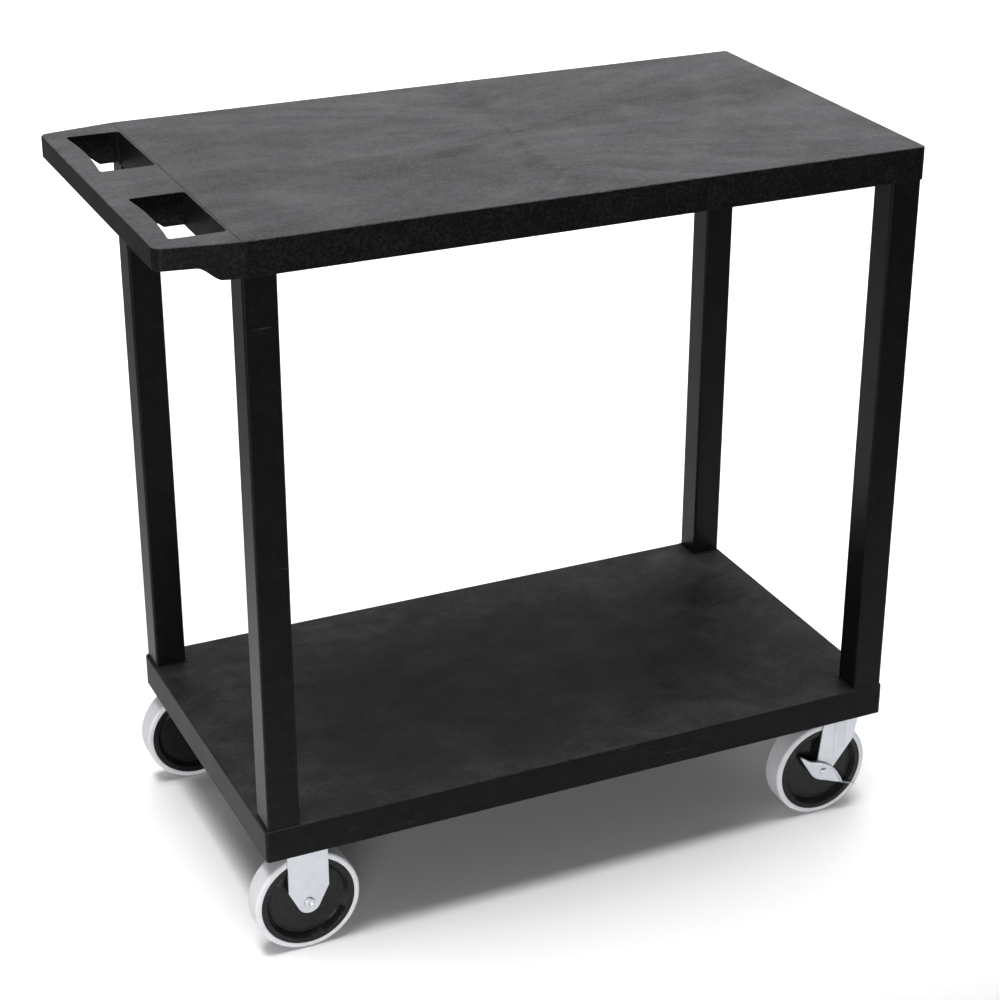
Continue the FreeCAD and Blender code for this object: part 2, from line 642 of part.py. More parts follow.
def swivel_fork(x, y):
    """Crown plate with two leaning cheeks, bored for the pivot, axle and brake cam."""
    crown_x0 = x + LEG_REAR_TOP
    crown_x1 = x + LEG_FRONT_TOP
    pieces = [box(crown_x0, crown_x1, y - FORK_HALF_OUT, y + FORK_HALF_OUT, CROWN_Z, CROWN_TOP)]
    for side in (-1, 1):
        low, high = sorted((y + side * FORK_HALF_IN, y + side * FORK_HALF_OUT))
        pieces.append(fork_cheek(x, low, high))
    body = joined(pieces)
    bends = [e for e in level_edges(body, CROWN_TOP, lambda p: abs(abs(p.y - y) - FORK_HALF_OUT) < 0.1)]
    body = body.makeFillet(BEND_R, bends)
    outer = y - FORK_HALF_OUT
    ridges = []
    for dx, foot in zip(RIDGE_XS, RIDGE_FEET):
        left = x + dx - RIDGE_W / 2
        bottom = AXLE_Z + foot
        top = CROWN_Z - RIDGE_TOP_GAP
        ridge = box(left, left + RIDGE_W, outer - RIDGE_H, outer + RIDGE_ROOT, bottom, top)
        ridges += [ridge, ridge.mirror(V(0, y, 0), V(0, 1, 0))]
    body = joined([body] + ridges)
    body = body.cut(rod_z(x + TRAIL, y, CROWN_Z - 1, CROWN_TOP + 1, PIN_R + RUN_CLEAR))
    body = body.cut(rod_y(x, AXLE_Z, y, y + FAR, AXLE_R + AXLE_CLEAR))
    return body.cut(rod_y(x, AXLE_Z, y - FAR, y, CAM_R + BODY_GAP))


def race_cup(x, y):
    """Pressed cup on the crown that carries the balls."""
    cup = rod_z(x, y, CROWN_TOP, CROWN_TOP + CUP_H, CUP_R)
    cup = cup.makeFillet(CUP_ROUND, level_edges(cup, CROWN_TOP + CUP_H))
    cup = cup.cut(rod_z(x, y, CROWN_TOP + CUP_FLOOR, CROWN_TOP + CUP_H + 1, CUP_R - CUP_WALL))
    return cup.cut(rod_z(x, y, CROWN_TOP - 1, CROWN_TOP + CUP_FLOOR + 1, PIN_R + RUN_CLEAR))


def ball_ring(x, y):
    """Swivel bearing balls."""
    z = CROWN_TOP + CUP_FLOOR + BALL_R
    balls = []
    for i in range(BALL_COUNT):
        a = 2 * math.pi * i / BALL_COUNT
        spot = V(x + BALL_RING_R * math.cos(a), y + BALL_RING_R * math.sin(a), z)
        balls.append(Part.makeSphere(BALL_R, spot))
    return Part.makeCompound(balls)


def swivel_plate(x, y, half):
    """Top plate with the pressed upper race under it."""
    race_bottom = CROWN_TOP + CUP_FLOOR + 2 * BALL_R + BODY_GAP
    plate = plate_blank(x, y, half)
    race = rod_z(x, y, race_bottom, MOUNT_Z - PLATE_T, RACE_R)
    body = plate.fuse(race).removeSplitter()
    body = body.cut(rod_z(x, y, race_bottom - 1, MOUNT_Z + 1, PIN_R))
    return drilled(body, x, y)


def kingpin(x, y):
    """Rivet through the plate and the fork crown."""
    low = CROWN_Z - BODY_GAP
    head = rod_z(x, y, low - PIN_HEAD_H, low, PIN_HEAD_R)
    head = head.makeFillet(PIN_HEAD_ROUND, level_edges(head, low - PIN_HEAD_H))
    top = rod_z(x, y, MOUNT_Z, MOUNT_Z + PIN_HEAD_H, PIN_TOP_R)
    top = top.makeFillet(PIN_TOP_ROUND, level_edges(top, MOUNT_Z + PIN_HEAD_H))
    return joined([rod_z(x, y, low, MOUNT_Z, PIN_R), head, top])


def swivel_bolt(x, y):
    """Axle bolt whose domed head keeps the brake pedal on."""
    face = y - FORK_HALF_OUT - PEDAL_GAP - PEDAL_T - PEDAL_EMBOSS - BODY_GAP
    head = rod_y(x, AXLE_Z, face - PEDAL_HEAD_H, face, PEDAL_HEAD_R)
    head = head.makeFillet(PEDAL_HEAD_ROUND, [e for e in head.Edges if e.BoundBox.YMax < face - PAST])
    end = y + FORK_HALF_OUT + NUT_H + BOLT_PAST_NUT
    return head.fuse(rod_y(x, AXLE_Z, face, end, AXLE_R)).removeSplitter()


def smooth_face(x, y, lower, upper, start, end):
    """Leaf-shaped face between two smooth curves that share both ends."""
    curves = []
    for middle in (lower, upper):
        points = [start] + list(middle) + [end]
        spline = Part.BSplineCurve()
        spline.interpolate([V(x + dx, y, AXLE_Z + dz) for dx, dz in points])
        curves.append(spline.toShape())
    return Part.Face(Part.Wire(curves))


def brake_pedal(x, y):
    """Leaf-shaped rocker with an outturned lip that carries on as the toe tab."""
    back = y - FORK_HALF_OUT - PEDAL_GAP
    leaf = smooth_face(x, back, PEDAL_LOWER, tuple(reversed(PEDAL_UPPER)), PEDAL_REAR_TIP, PEDAL_FRONT_END)
    plate = leaf.extrude(V(0, -PEDAL_T, 0))
    emboss = rod_y(x, AXLE_Z, back - PEDAL_T - PEDAL_EMBOSS, back - PEDAL_T, PEDAL_EMBOSS_R)
    ridge = [PEDAL_REAR_TIP] + list(reversed(PEDAL_UPPER)) + [PEDAL_FRONT_END, PEDAL_FRONT_TIP]
    shifted = [(dx + PEDAL_LIP_SHIFT[0], dz + PEDAL_LIP_SHIFT[1]) for dx, dz in ridge]
    band = [(x + dx, AXLE_Z + dz) for dx, dz in ridge + list(reversed(shifted))]
    lip = side_prism(band, back - PEDAL_T - PEDAL_LIP, back)
    body = joined([plate, emboss, lip])
    return body.cut(rod_y(x, AXLE_Z, y - FAR, y, AXLE_R + RUN_CLEAR))


def brake_cam(x, y):
    """Collar behind the pedal that pushes the shoe."""
    back = y - FORK_HALF_OUT - PEDAL_GAP
    body = rod_y(x, AXLE_Z, back, y - SHOE_Y - SHOE_T - BODY_GAP, CAM_R)
    return body.cut(rod_y(x, AXLE_Z, y - FAR, y, AXLE_R + RUN_CLEAR))


def brake_shoe(x, y):
    """Spring plate between the fork and the hub."""
    face = y - SHOE_Y
    disc = rod_y(x, AXLE_Z, face - SHOE_T, face, SHOE_R)
    low = x + SHOE_TONGUE_DX - SHOE_TONGUE_W / 2
    high = low + SHOE_TONGUE_W
    tongue = box(low, high, face - SHOE_T, face, AXLE_Z, AXLE_Z + SHOE_TONGUE_TOP)
    bottom = AXLE_Z + SHOE_PAD_BOTTOM
    pad = box(low, high, y - FORK_HALF_IN, face - SHOE_T, bottom, AXLE_Z + SHOE_TONGUE_TOP)
    body = joined([disc, tongue, pad])
    return body.cut(rod_y(x, AXLE_Z, y - FAR, y, SLEEVE_R + AXLE_CLEAR))


def rigid_caster():
    """Pieces of the right-hand rigid caster, by name."""
    x = RIGID_X
    y = -RIGID_Y
    nut_y = y + FORK_HALF_OUT - RIGID_JOGGLE
    return {
        "rigid_bracket": rigid_bracket(x, y),
        "rigid_axle_bolt": rigid_bolt(x, y),
        "rigid_axle_nut": nut(x, nut_y, nut_y + NUT_H),
        "rigid_axle_sleeve": sleeve(x, y, FORK_HALF_IN, FORK_HALF_IN, ("outer", "inner")),
        "rear_wheel_core": wheel_core(x, y),
        "rear_wheel_tread": tread(x, y),
    }


def swivel_caster():
    """Pieces of the right-hand swivel caster, by name."""
    x = PIVOT_X - TRAIL
    y = -SWIVEL_Y
    nut_y = y + FORK_HALF_OUT
    return {
        "swivel_plate": swivel_plate(PIVOT_X, y, SWIVEL_PLATE_HALF),
        "swivel_kingpin": kingpin(PIVOT_X, y),
        "swivel_race_cup": race_cup(PIVOT_X, y),
        "swivel_balls": ball_ring(PIVOT_X, y),
        "swivel_fork": swivel_fork(x, y),
        "swivel_axle_bolt": swivel_bolt(x, y),
        "swivel_axle_nut": nut(x, nut_y, nut_y + NUT_H),
        "swivel_axle_sleeve": sleeve(x, y, HUB_HALF + BODY_GAP, FORK_HALF_IN, ("inner",)),
        "front_wheel_core": wheel_core(x, y),
        "front_wheel_tread": tread(x, y),
        "brake_pedal": brake_pedal(x, y),
        "brake_cam": brake_cam(x, y),
        "brake_shoe": brake_shoe(x, y),
    }


save("top_shelf", top_shelf())
save("lower_shelf", lower_shelf())
for name, x, y in leg_spots():
    save(f"leg_{name}", leg(x, y))
    save(f"leg_plug_{name}", leg_plug(x, y))
save("leg_screws", leg_screws())
save("caster_screws", plate_screws())
for pieces in (rigid_caster(), swivel_caster()):
    for name, shape in pieces.items():
        save(f"{name}_right", shape)
        save(f"{name}_left", mirrored(shape))
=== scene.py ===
"""Looks for a flat two-deck utility cart on square legs and casters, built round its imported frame.

Everything is in metres, in the frame's own axes: +X away from the handle, -Y the right side, +Z up.
"""

import logging
import math
from dataclasses import dataclass
from enum import Enum
from typing import Sequence, Union

import bmesh
import bpy
from bmesh.types import BMesh, BMVert
from bpy.types import Material, Node, NodeSocket, NodeTree, Object
from mathutils import Matrix, Vector


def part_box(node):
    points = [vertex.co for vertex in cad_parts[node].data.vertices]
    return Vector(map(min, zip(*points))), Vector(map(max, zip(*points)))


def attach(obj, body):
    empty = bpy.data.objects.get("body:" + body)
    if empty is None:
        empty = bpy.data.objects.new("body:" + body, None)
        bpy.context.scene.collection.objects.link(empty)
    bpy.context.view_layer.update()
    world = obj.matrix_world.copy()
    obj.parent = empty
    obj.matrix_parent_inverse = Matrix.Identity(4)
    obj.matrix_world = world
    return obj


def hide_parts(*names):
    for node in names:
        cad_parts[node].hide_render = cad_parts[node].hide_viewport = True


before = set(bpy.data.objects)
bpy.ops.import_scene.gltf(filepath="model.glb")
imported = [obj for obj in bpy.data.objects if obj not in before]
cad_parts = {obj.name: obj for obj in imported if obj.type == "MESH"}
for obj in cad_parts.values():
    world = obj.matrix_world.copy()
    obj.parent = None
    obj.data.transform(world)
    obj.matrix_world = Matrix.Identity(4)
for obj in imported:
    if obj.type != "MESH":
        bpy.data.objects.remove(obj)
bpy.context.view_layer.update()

log = logging.getLogger("cart")

Colour = tuple[float, float, float]
Point = tuple[float, float]
Ends = tuple[float, float]
Spot = tuple[float, float, float]
Plug = Union[float, Sequence[float], NodeSocket]
Sockets = bpy.types.bpy_prop_collection

CRISP_ANGLE = 38.0
CRISP_TURN = 16.0
SAME_SPOT = 1e-6


class Side(Enum):
    """The two sides of the cart and their sign along Y."""

    RIGHT = -1
    LEFT = 1

    @property
    def word(self) -> str:
        """The side's name as the frame's pieces spell it."""
        return self.name.lower()


# ---------- wiring


class Wiring:
    """Adds nodes to one node tree and joins them."""

    def __init__(self, tree: NodeTree) -> None:
        """Works on a material's or a group's tree."""
        self.tree = tree

    def node(self, kind: str, **settings: object) -> Node:
        """Adds a node.

        Args:
            kind: Blender's type name for the node.
            settings: attributes to set on it.

        Returns:
            The new node.
        """
        made = self.tree.nodes.new(kind)
        for name, value in settings.items():
            setattr(made, name, value)
        return made

    def feed(self, node: Node, socket: Union[int, str], value: Plug) -> None:
        """Links a socket into an input, or sets the input's own value.

        Args:
            node: the node that takes the value.
            socket: the input's name or number.
            value: a socket, a number or a colour.
        """
        if isinstance(value, NodeSocket):
            self.tree.links.new(value, node.inputs[socket])
        else:
            node.inputs[socket].default_value = value

    def math(self, operation: str, a: Plug, b: Plug = 0.0, clamp: bool = False) -> NodeSocket:
        """Works out one sum.

        Args:
            operation: the Math node's operation.
            a: first value.
            b: second value.
            clamp: keep the result between 0 and 1.

        Returns:
            The result's socket.
        """
        made = self.node("ShaderNodeMath", operation=operation, use_clamp=clamp)
        self.feed(made, 0, a)
        self.feed(made, 1, b)
        return made.outputs[0]

    def times(self, a: Plug, b: Plug, clamp: bool = False) -> NodeSocket:
        """One value times another."""
        return self.math("MULTIPLY", a, b, clamp)

    def plus(self, a: Plug, b: Plug, clamp: bool = False) -> NodeSocket:
        """One value added to another."""
        return self.math("ADD", a, b, clamp)

    def vector(self, operation: str, a: Plug, b: Plug = (0.0, 0.0, 0.0)) -> Sockets:
        """Works out one vector sum.

        Args:
            operation: the Vector Math node's operation.
            a: first vector.
            b: second vector.

        Returns:
            Its output sockets, the vector first and then the value.
        """
        made = self.node("ShaderNodeVectorMath", operation=operation)
        self.feed(made, 0, a)
        self.feed(made, 1, b)
        return made.outputs

    def span(self, value: Plug, low: float, high: float, to_low: Plug = 0.0, to_high: Plug = 1.0,
             soft: bool = True) -> NodeSocket:
        """Maps one range onto another, holding the ends.

        Args:
            value: what to map.
            low: start of the range.
            high: end of the range.
            to_low: result at the start.
            to_high: result at the end.
            soft: ease in and out.

        Returns:
            The mapped value's socket.
        """
        made = self.node("ShaderNodeMapRange", interpolation_type="SMOOTHSTEP" if soft else "LINEAR")
        names = ("Value", "From Min", "From Max", "To Min", "To Max")
        for name, part in zip(names, (value, low, high, to_low, to_high)):
            self.feed(made, name, part)
        return made.outputs["Result"]

    def noise(self, vector: Plug, scale: Plug, detail: float = 3.0, rough: float = 0.5,
              twist: float = 0.0) -> NodeSocket:
        """A noise value.

        Args:
            vector: where to read the noise.
            scale: its fineness, per metre.
            detail: number of finer layers.
            rough: strength of the finer layers.
            twist: how far the noise bends itself.

        Returns:
            The noise value's socket.
        """
        made = self.node("ShaderNodeTexNoise")
        names = ("Vector", "Scale", "Detail", "Roughness", "Distortion")
        for name, part in zip(names, (vector, scale, detail, rough, twist)):
            self.feed(made, name, part)
        return made.outputs["Fac"]

    def blend(self, factor: Plug, a: Plug, b: Plug) -> NodeSocket:
        """Mixes two colours.

        Args:
            factor: 0 gives the first, 1 the second.
            a: first colour.
            b: second colour.

        Returns:
            The mixed colour's socket.
        """
        made = self.node("ShaderNodeMix", data_type="RGBA")
        self.feed(made, "Factor", factor)
        self.feed(made, 6, a if isinstance(a, NodeSocket) else (*a, 1.0))
        self.feed(made, 7, b if isinstance(b, NodeSocket) else (*b, 1.0))
        return made.outputs[2]

    def veil(self, colour: Plug, mask: Plug, share: float, tint: Colour) -> NodeSocket:
        """Lays a tint over a colour, as strong as a share of the mask."""
        return self.blend(self.times(mask, share), colour, tint)

    def parts(self, vector: Plug) -> Sockets:
        """Takes a vector apart.

        Args:
            vector: the vector.

        Returns:
            The sockets of its X, Y and Z.
        """
        made = self.node("ShaderNodeSeparateXYZ")
        self.feed(made, "Vector", vector)
        return made.outputs

    def place(self) -> NodeSocket:
        """Position on the piece, in the cart's frame."""
        return self.node("ShaderNodeTexCoord").outputs["Object"]

    def rise(self) -> NodeSocket:
        """How far the face looks up, 1 for a level one."""
        return self.parts(self.node("ShaderNodeNewGeometry").outputs["Normal"])["Z"]

    def group(self, tree: NodeTree, at: Plug, **values: Plug) -> Sockets:
        """Places a shared effect.

        Args:
            tree: the group's tree.
            at: its Vector.
            values: its other inputs, with spaces written as underscores.

        Returns:
            Its output sockets.
        """
        made = self.node("ShaderNodeGroup")
        made.node_tree = tree
        self.feed(made, "Vector", at)
        for name, value in values.items():
            self.feed(made, name.replace("_", " "), value)
        return made.outputs


# ---------- shared effects


@dataclass(frozen=True)
class FlowShape:
    """Where a deck's flow marks lie: metres from the gate, slopes and stretches."""

    noise_scale: float = 5.5
    leans: Ends = (0.1, 0.42)
    seam_half: float = 0.006
    seam_spread: float = 0.2
    seam_fade: Ends = (0.08, 0.34)
    seam_far: float = 0.12
    fan_from: float = 0.2
    fan_pull: float = 4.0
    pool_at: Point = (0.34, 0.05)
    pool_squash: float = 1.7
    pool_edge: Ends = (0.02, 0.17)


class Effects:
    """Shader groups that several finishes share, each made once."""

    def __init__(self) -> None:
        """Builds every group."""
        self.grain = self._grain()
        self.flow = self._flow()
        self.rub = self._rub()
        self.dust = self._dust()
        self.smear = self._smear()
        self.brush = self._brush()
        self.crevice = self._crevice()

    def _start(self, name: str, outputs: Sequence[str],
               **inputs: float) -> tuple[Wiring, NodeSocket, Sockets, Node]:
        """Opens a new group that takes a Vector.

        Args:
            name: the group's name.
            outputs: names of the values that it gives.
            inputs: its further inputs and their defaults, with spaces written as underscores.

        Returns:
            Its wiring, its Vector, its input sockets by name and its output node.
        """
        tree = bpy.data.node_groups.new(name, "ShaderNodeTree")
        tree.interface.new_socket("Vector", in_out="INPUT", socket_type="NodeSocketVector")
        for label, value in inputs.items():
            socket = tree.interface.new_socket(
                label.replace("_", " "), in_out="INPUT", socket_type="NodeSocketFloat")
            socket.default_value = value
        for label in outputs:
            tree.interface.new_socket(label, in_out="OUTPUT", socket_type="NodeSocketFloat")
        wiring = Wiring(tree)
        take = wiring.node("NodeGroupInput").outputs
        return wiring, take["Vector"], take, wiring.node("NodeGroupOutput")

    def _grain(self) -> NodeTree:
        """Fine moulded grain: a pebbled height and a speckle mask.

        Returns:
            The group's tree.
        """
        w, at, take, leave = self._start("moulded_grain", ("Height", "Speckle"), Scale=900.0)
        fine = w.noise(at, take["Scale"], 2.0, 0.6)
        cells = w.node("ShaderNodeTexVoronoi", feature="SMOOTH_F1")
        w.feed(cells, "Vector", at)
        w.feed(cells, "Scale", w.times(take["Scale"], 0.55))
        pebble = w.span(cells.outputs["Distance"], 0.1, 0.75)
        w.feed(leave, "Height", w.plus(w.times(fine, 0.6), w.times(pebble, 0.4)))
        coarse = w.noise(at, w.times(take["Scale"], 0.5), 2.0, 0.6)
        w.feed(leave, "Speckle", w.span(coarse, 0.36, 0.66))
        return w.tree

    def _flow(self) -> NodeTree:
        """Flow marks of a deck moulded from one gate in its middle.

        Two Seams cross at the gate with a calm Lobe between them on two opposite sides. Streak runs
        along the deck and fans out, Pool is a dull patch toward each end, Cloud is broad mottling
        and Fibre is fine lengthwise grain.

        Returns:
            The group's tree.
        """
        names = ("Streak", "Seam", "Lobe", "Pool", "Cloud", "Fibre")
        lay = FlowShape()
        w, at, take, leave = self._start("flow_marks", names, Bend=0.1)
        wander = w.node("ShaderNodeTexNoise")
        for name, value in (("Vector", at), ("Scale", lay.noise_scale), ("Detail", 3.0)):
            w.feed(wander, name, value)
        swing = w.vector("SUBTRACT", wander.outputs["Color"], (0.5, 0.5, 0.5))[0]
        moved = w.vector("ADD", at, w.vector("MULTIPLY", swing, take["Bend"])[0])[0]
        moved = w.vector("MULTIPLY", moved, (1.0, 1.0, 0.0))[0]
        x, y, _ = w.parts(moved)
        along = w.math("ABSOLUTE", x)
        reach = w.vector("LENGTH", moved)["Value"]
        cross = w.math("SUBTRACT", x, w.times(y, lay.leans[0]))
        slant = w.math("SUBTRACT", y, w.times(x, lay.leans[1]))
        wide = w.plus(lay.seam_half, w.times(reach, lay.seam_spread))
        lines = [w.span(w.math("DIVIDE", w.math("ABSOLUTE", line), wide), 0.0, 1.0, 1.0, 0.0)
                 for line in (cross, slant)]
        seam = w.times(w.math("MAXIMUM", *lines), w.span(reach, *lay.seam_fade, 1.0, lay.seam_far))
        area = w.plus(w.times(reach, reach), 0.002)
        lobe = w.span(w.math("DIVIDE", w.times(cross, slant), area), 0.02, 0.22)
        ray, off = (w.node("ShaderNodeCombineXYZ") for _ in range(2))
        w.feed(ray, "X", w.times(x, 2.0))
        w.feed(ray, "Y", w.times(w.math("DIVIDE", y, w.plus(along, lay.fan_from)), lay.fan_pull))
        w.feed(off, "X", w.math("SUBTRACT", along, lay.pool_at[0]))
        w.feed(off, "Y", w.times(w.math("SUBTRACT", y, lay.pool_at[1]), lay.pool_squash))
        pool = w.span(w.vector("LENGTH", off.outputs[0])["Value"], *lay.pool_edge, 1.0, 0.0)
        streak = w.noise(ray.outputs[0], 2.2, 8.0, 0.64, 0.6)
        cloud = w.noise(w.vector("MULTIPLY", moved, (1.0, 2.2, 1.0))[0], 7.5, 7.0, 0.62, 1.2)
        fibre = w.noise(w.vector("MULTIPLY", at, (1.0, 9.0, 9.0))[0], 42.0, 4.0, 0.6, 0.4)
        streak, cloud = (w.span(value, 0.34, 0.68) for value in (streak, cloud))
        values = (streak, seam, lobe, pool, cloud, w.span(fibre, 0.3, 0.72))
        for name, value in zip(names, values):
            w.feed(leave, name, value)
        return w.tree

    def _rub(self) -> NodeTree:
        """Rubbed edges and painted edge highlights: lightens where a rounded-off normal leaves the real
        one.

        Returns:
            The group's tree.
        """
        w, at, take, leave = self._start("rubbed_edges", ("Mask",), Width=0.0015, Patchy=0.5)
        soft = w.node("ShaderNodeBevel", samples=4)
        w.feed(soft, "Radius", take["Width"])
        true = w.node("ShaderNodeNewGeometry")
        near = w.vector("DOT_PRODUCT", soft.outputs["Normal"], true.outputs["Normal"])["Value"]
        # Painted edge highlight as well as wear: the mask is strongest on every sharp edge, where light
        # would catch.
        edge = w.span(near, 0.995, 0.86)
        broken = w.span(w.noise(at, 60.0, 4.0, 0.65), 0.42, 0.62)
        fade = w.math("SUBTRACT", 1.0, w.times(take["Patchy"], w.math("SUBTRACT", 1.0, broken)))
        w.feed(leave, "Mask", w.times(edge, fade, clamp=True))
        return w.tree

    def _dust(self) -> NodeTree:
        """Thin dust that lies on level faces.

        Returns:
            The group's tree.
        """
        w, at, take, leave = self._start("settled_dust", ("Mask",), Amount=0.3)
        level = w.span(w.rise(), 0.5, 0.95)
        patch = w.span(w.noise(at, 14.0, 6.0, 0.7), 0.4, 0.75)
        motes = w.span(w.noise(at, 420.0, 2.0, 0.5), 0.55, 0.8)
        spread = w.plus(w.times(patch, 0.6), w.times(motes, 0.5))
        w.feed(leave, "Mask", w.times(w.times(level, spread), take["Amount"], clamp=True))
        return w.tree

    def _smear(self) -> NodeTree:
        """Wiped and handled patches that change the gloss.

        Returns:
            The group's tree.
        """
        w, at, take, leave = self._start("wiped_smears", ("Value", "Scratch"), Scale=9.0)
        wide = w.noise(at, take["Scale"], 5.0, 0.6, 0.8)
        w.feed(leave, "Value", w.span(wide, 0.3, 0.7))
        stretch = w.vector("MULTIPLY", at, (3.0, 55.0, 55.0))[0]
        lines = w.noise(stretch, 6.0, 3.0, 0.6, 0.3)
        gate = w.span(w.noise(at, 5.0, 2.0, 0.5), 0.5, 0.64)
        w.feed(leave, "Scratch", w.times(w.span(lines, 0.66, 0.74), gate))
        return w.tree

    def _brush(self) -> NodeTree:
        """Rolled sheet grain along Z with cloudy plating.

        Returns:
            The group's tree.
        """
        w, at, take, leave = self._start("plated_sheet", ("Grain", "Cloud"), Cloud_Scale=90.0)
        drawn = w.vector("MULTIPLY", at, (14.0, 14.0, 1.0))[0]
        w.feed(leave, "Grain", w.noise(drawn, 160.0, 4.0, 0.6))
        cloud = w.noise(at, take["Cloud Scale"], 5.0, 0.62, 0.6)
        w.feed(leave, "Cloud", w.span(cloud, 0.32, 0.7))
        return w.tree

    def _crevice(self) -> NodeTree:
        """Painted shade in the corners where pieces meet: an ambient-occlusion mask, broken up by noise.

        Returns:
            The group's tree.
        """
        w, at, take, leave = self._start("crevice_grime", ("Mask",), Width=0.002, Amount=0.5)
        open_air = w.node("ShaderNodeAmbientOcclusion", samples=8)
        w.feed(open_air, "Distance", take["Width"])
        # Painted shade: the tighter the corner, the darker it is painted.
        tight = w.span(open_air.outputs["AO"], 0.35, 0.92, 1.0, 0.0)
        broken = w.span(w.noise(at, 240.0, 3.0, 0.6), 0.3, 0.6, 0.6, 1.0)
        w.feed(leave, "Mask", w.times(w.times(tight, broken), take["Amount"], clamp=True))
        return w.tree


# ---------- finishes


@dataclass(frozen=True)
class Marks:
    """How strongly each kind of flow mark shows on level faces."""

    floor: float = 0.26
    streak: float = 0.36
    cloud: float = 0.16
    fibre: float = 0.18
    lobe: float = 0.02
    seam: float = 0.24
    pool: float = 0.16


@dataclass(frozen=True)
class MouldedPlastic:
    """Black moulded plastic with grain, flow marks, rubbed edges with painted edge highlights, a little
    dust and painted shade in its crevices.
    """

    name: str
    slot: str
    base: Colour = (0.003, 0.003, 0.0034)
    pale: Colour = (0.085, 0.086, 0.093)
    rough: Ends = (0.42, 0.56)
    specular: float = 0.07
    grain_scale: float = 620.0
    grain_depth: float = 0.00005
    flow_centre: Point = (0.041, 0.0)
    bend: float = 0.06
    level: Marks = Marks()
    mottle: float = 0.06
    speckle: float = 0.34
    dust: float = 0.2
    rub: float = 0.5
    upright_speckle: float = 0.35
    lobe_calm: float = 0.55
    rubbed: Colour = (0.05, 0.05, 0.054)
    dusty: Colour = (0.2, 0.195, 0.185)
    scratched: Colour = (0.09, 0.09, 0.092)
    # Colour of the painted shade in crevices.
    grime_and_shade: Colour = (0.0015, 0.0015, 0.0016)

    def make(self, effects: Effects) -> Material:
        """Builds the material.

        Args:
            effects: the shared shader groups.

        Returns:
            The material.
        """
        material, w, shader = new_material(self.name)
        here = w.place()
        grain = w.group(effects.grain, here, Scale=self.grain_scale)
        rub = w.group(effects.rub, here, Width=0.0012, Patchy=0.6)
        dust = w.group(effects.dust, here, Amount=self.dust)
        crevice = w.group(effects.crevice, here, Width=0.004, Amount=0.8)
        smear = w.group(effects.smear, here)
        marks = self._marks(w, effects, here, grain["Speckle"])
        colour = w.blend(marks, self.base, self.pale)
        # Rubbed edges with a painted edge highlight: lightens every sharp edge.
        colour = w.veil(colour, rub["Mask"], self.rub, self.rubbed)
        colour = w.blend(dust["Mask"], colour, self.dusty)
        colour = w.veil(colour, smear["Scratch"], 0.3, self.scratched)
        # Painted shade: darkens corners and crevices by the ambient-occlusion mask.
        colour = w.blend(crevice["Mask"], colour, self.grime_and_shade)
        w.feed(shader, "Base Color", colour)
        low, high = self.rough
        gloss = w.plus(w.times(smear["Value"], 0.35), w.times(marks, 0.65))
        w.feed(shader, "Roughness", w.span(gloss, 0.0, 1.0, low, high, soft=False))
        w.feed(shader, "Specular IOR Level", self.specular)
        lumps = w.plus(grain["Height"], w.times(marks, 0.8))
        add_bump(w, shader, lumps, self.grain_depth)
        return material

    def _marks(self, w: Wiring, effects: Effects, here: NodeSocket,
               speckle: NodeSocket) -> NodeSocket:
        """Pale marks: flow marks on level faces and plain mottling on upright ones.

        Args:
            w: the material's wiring.
            effects: the shared shader groups.
            here: position on the piece.
            speckle: the grain's speckle.

        Returns:
            The strength of the pale colour, 0 to 1.
        """
        centred = w.vector("SUBTRACT", here, (*self.flow_centre, 0.0))[0]
        flow = w.group(effects.flow, centred, Bend=self.bend)
        level = self.level
        calm = w.math("SUBTRACT", 1.0, w.times(flow["Lobe"], self.lobe_calm))
        streak = w.times(w.times(flow["Streak"], calm), level.streak)
        total = w.plus(streak, level.floor)
        for weight, name in ((level.cloud, "Cloud"), (level.fibre, "Fibre"), (level.lobe, "Lobe"),
                             (-level.seam, "Seam"), (-level.pool, "Pool")):
            total = w.plus(total, w.times(flow[name], weight))
        mottle = w.span(w.noise(here, 60.0, 5.0, 0.62, 0.2), 0.3, 0.75)
        up = w.span(w.rise(), 0.3, 0.8)
        flat_part = w.times(total, up)
        side_part = w.times(w.times(mottle, self.mottle), w.math("SUBTRACT", 1.0, up))
        worn = w.span(up, 0.0, 1.0, self.speckle * self.upright_speckle, self.speckle)
        specks = w.times(w.math("SUBTRACT", speckle, 0.5), worn)
        return w.plus(w.plus(flat_part, side_part), specks, clamp=True)


@dataclass(frozen=True)
class GlossCore:
    """Black semi-gloss wheel core with fine grain, wiped gloss and rubbed edges with a painted edge
    highlight.
    """

    name: str
    slot: str
    base: Colour = (0.0022, 0.0022, 0.0026)
    rough: Ends = (0.16, 0.26)
    specular: float = 0.22
    rubbed: Colour = (0.05, 0.05, 0.053)
    flecked: Colour = (0.03, 0.03, 0.032)

    def make(self, effects: Effects) -> Material:
        """Builds the material.

        Args:
            effects: the shared shader groups.

        Returns:
            The material.
        """
        material, w, shader = new_material(self.name)
        here = w.place()
        grain = w.group(effects.grain, here, Scale=1400.0)
        smear = w.group(effects.smear, here, Scale=26.0)
        rub = w.group(effects.rub, here, Width=0.0008, Patchy=0.7)
        # Rubbed edges with a painted edge highlight on the core's rims and bead.
        colour = w.veil(self.base, rub["Mask"], 0.35, self.rubbed)
        colour = w.veil(colour, grain["Speckle"], 0.25, self.flecked)
        w.feed(shader, "Base Color", colour)
        w.feed(shader, "Roughness", w.span(smear["Value"], 0.0, 1.0, *self.rough, soft=False))
        w.feed(shader, "Specular IOR Level", self.specular)
        add_bump(w, shader, grain["Height"], 0.000015)
        return material


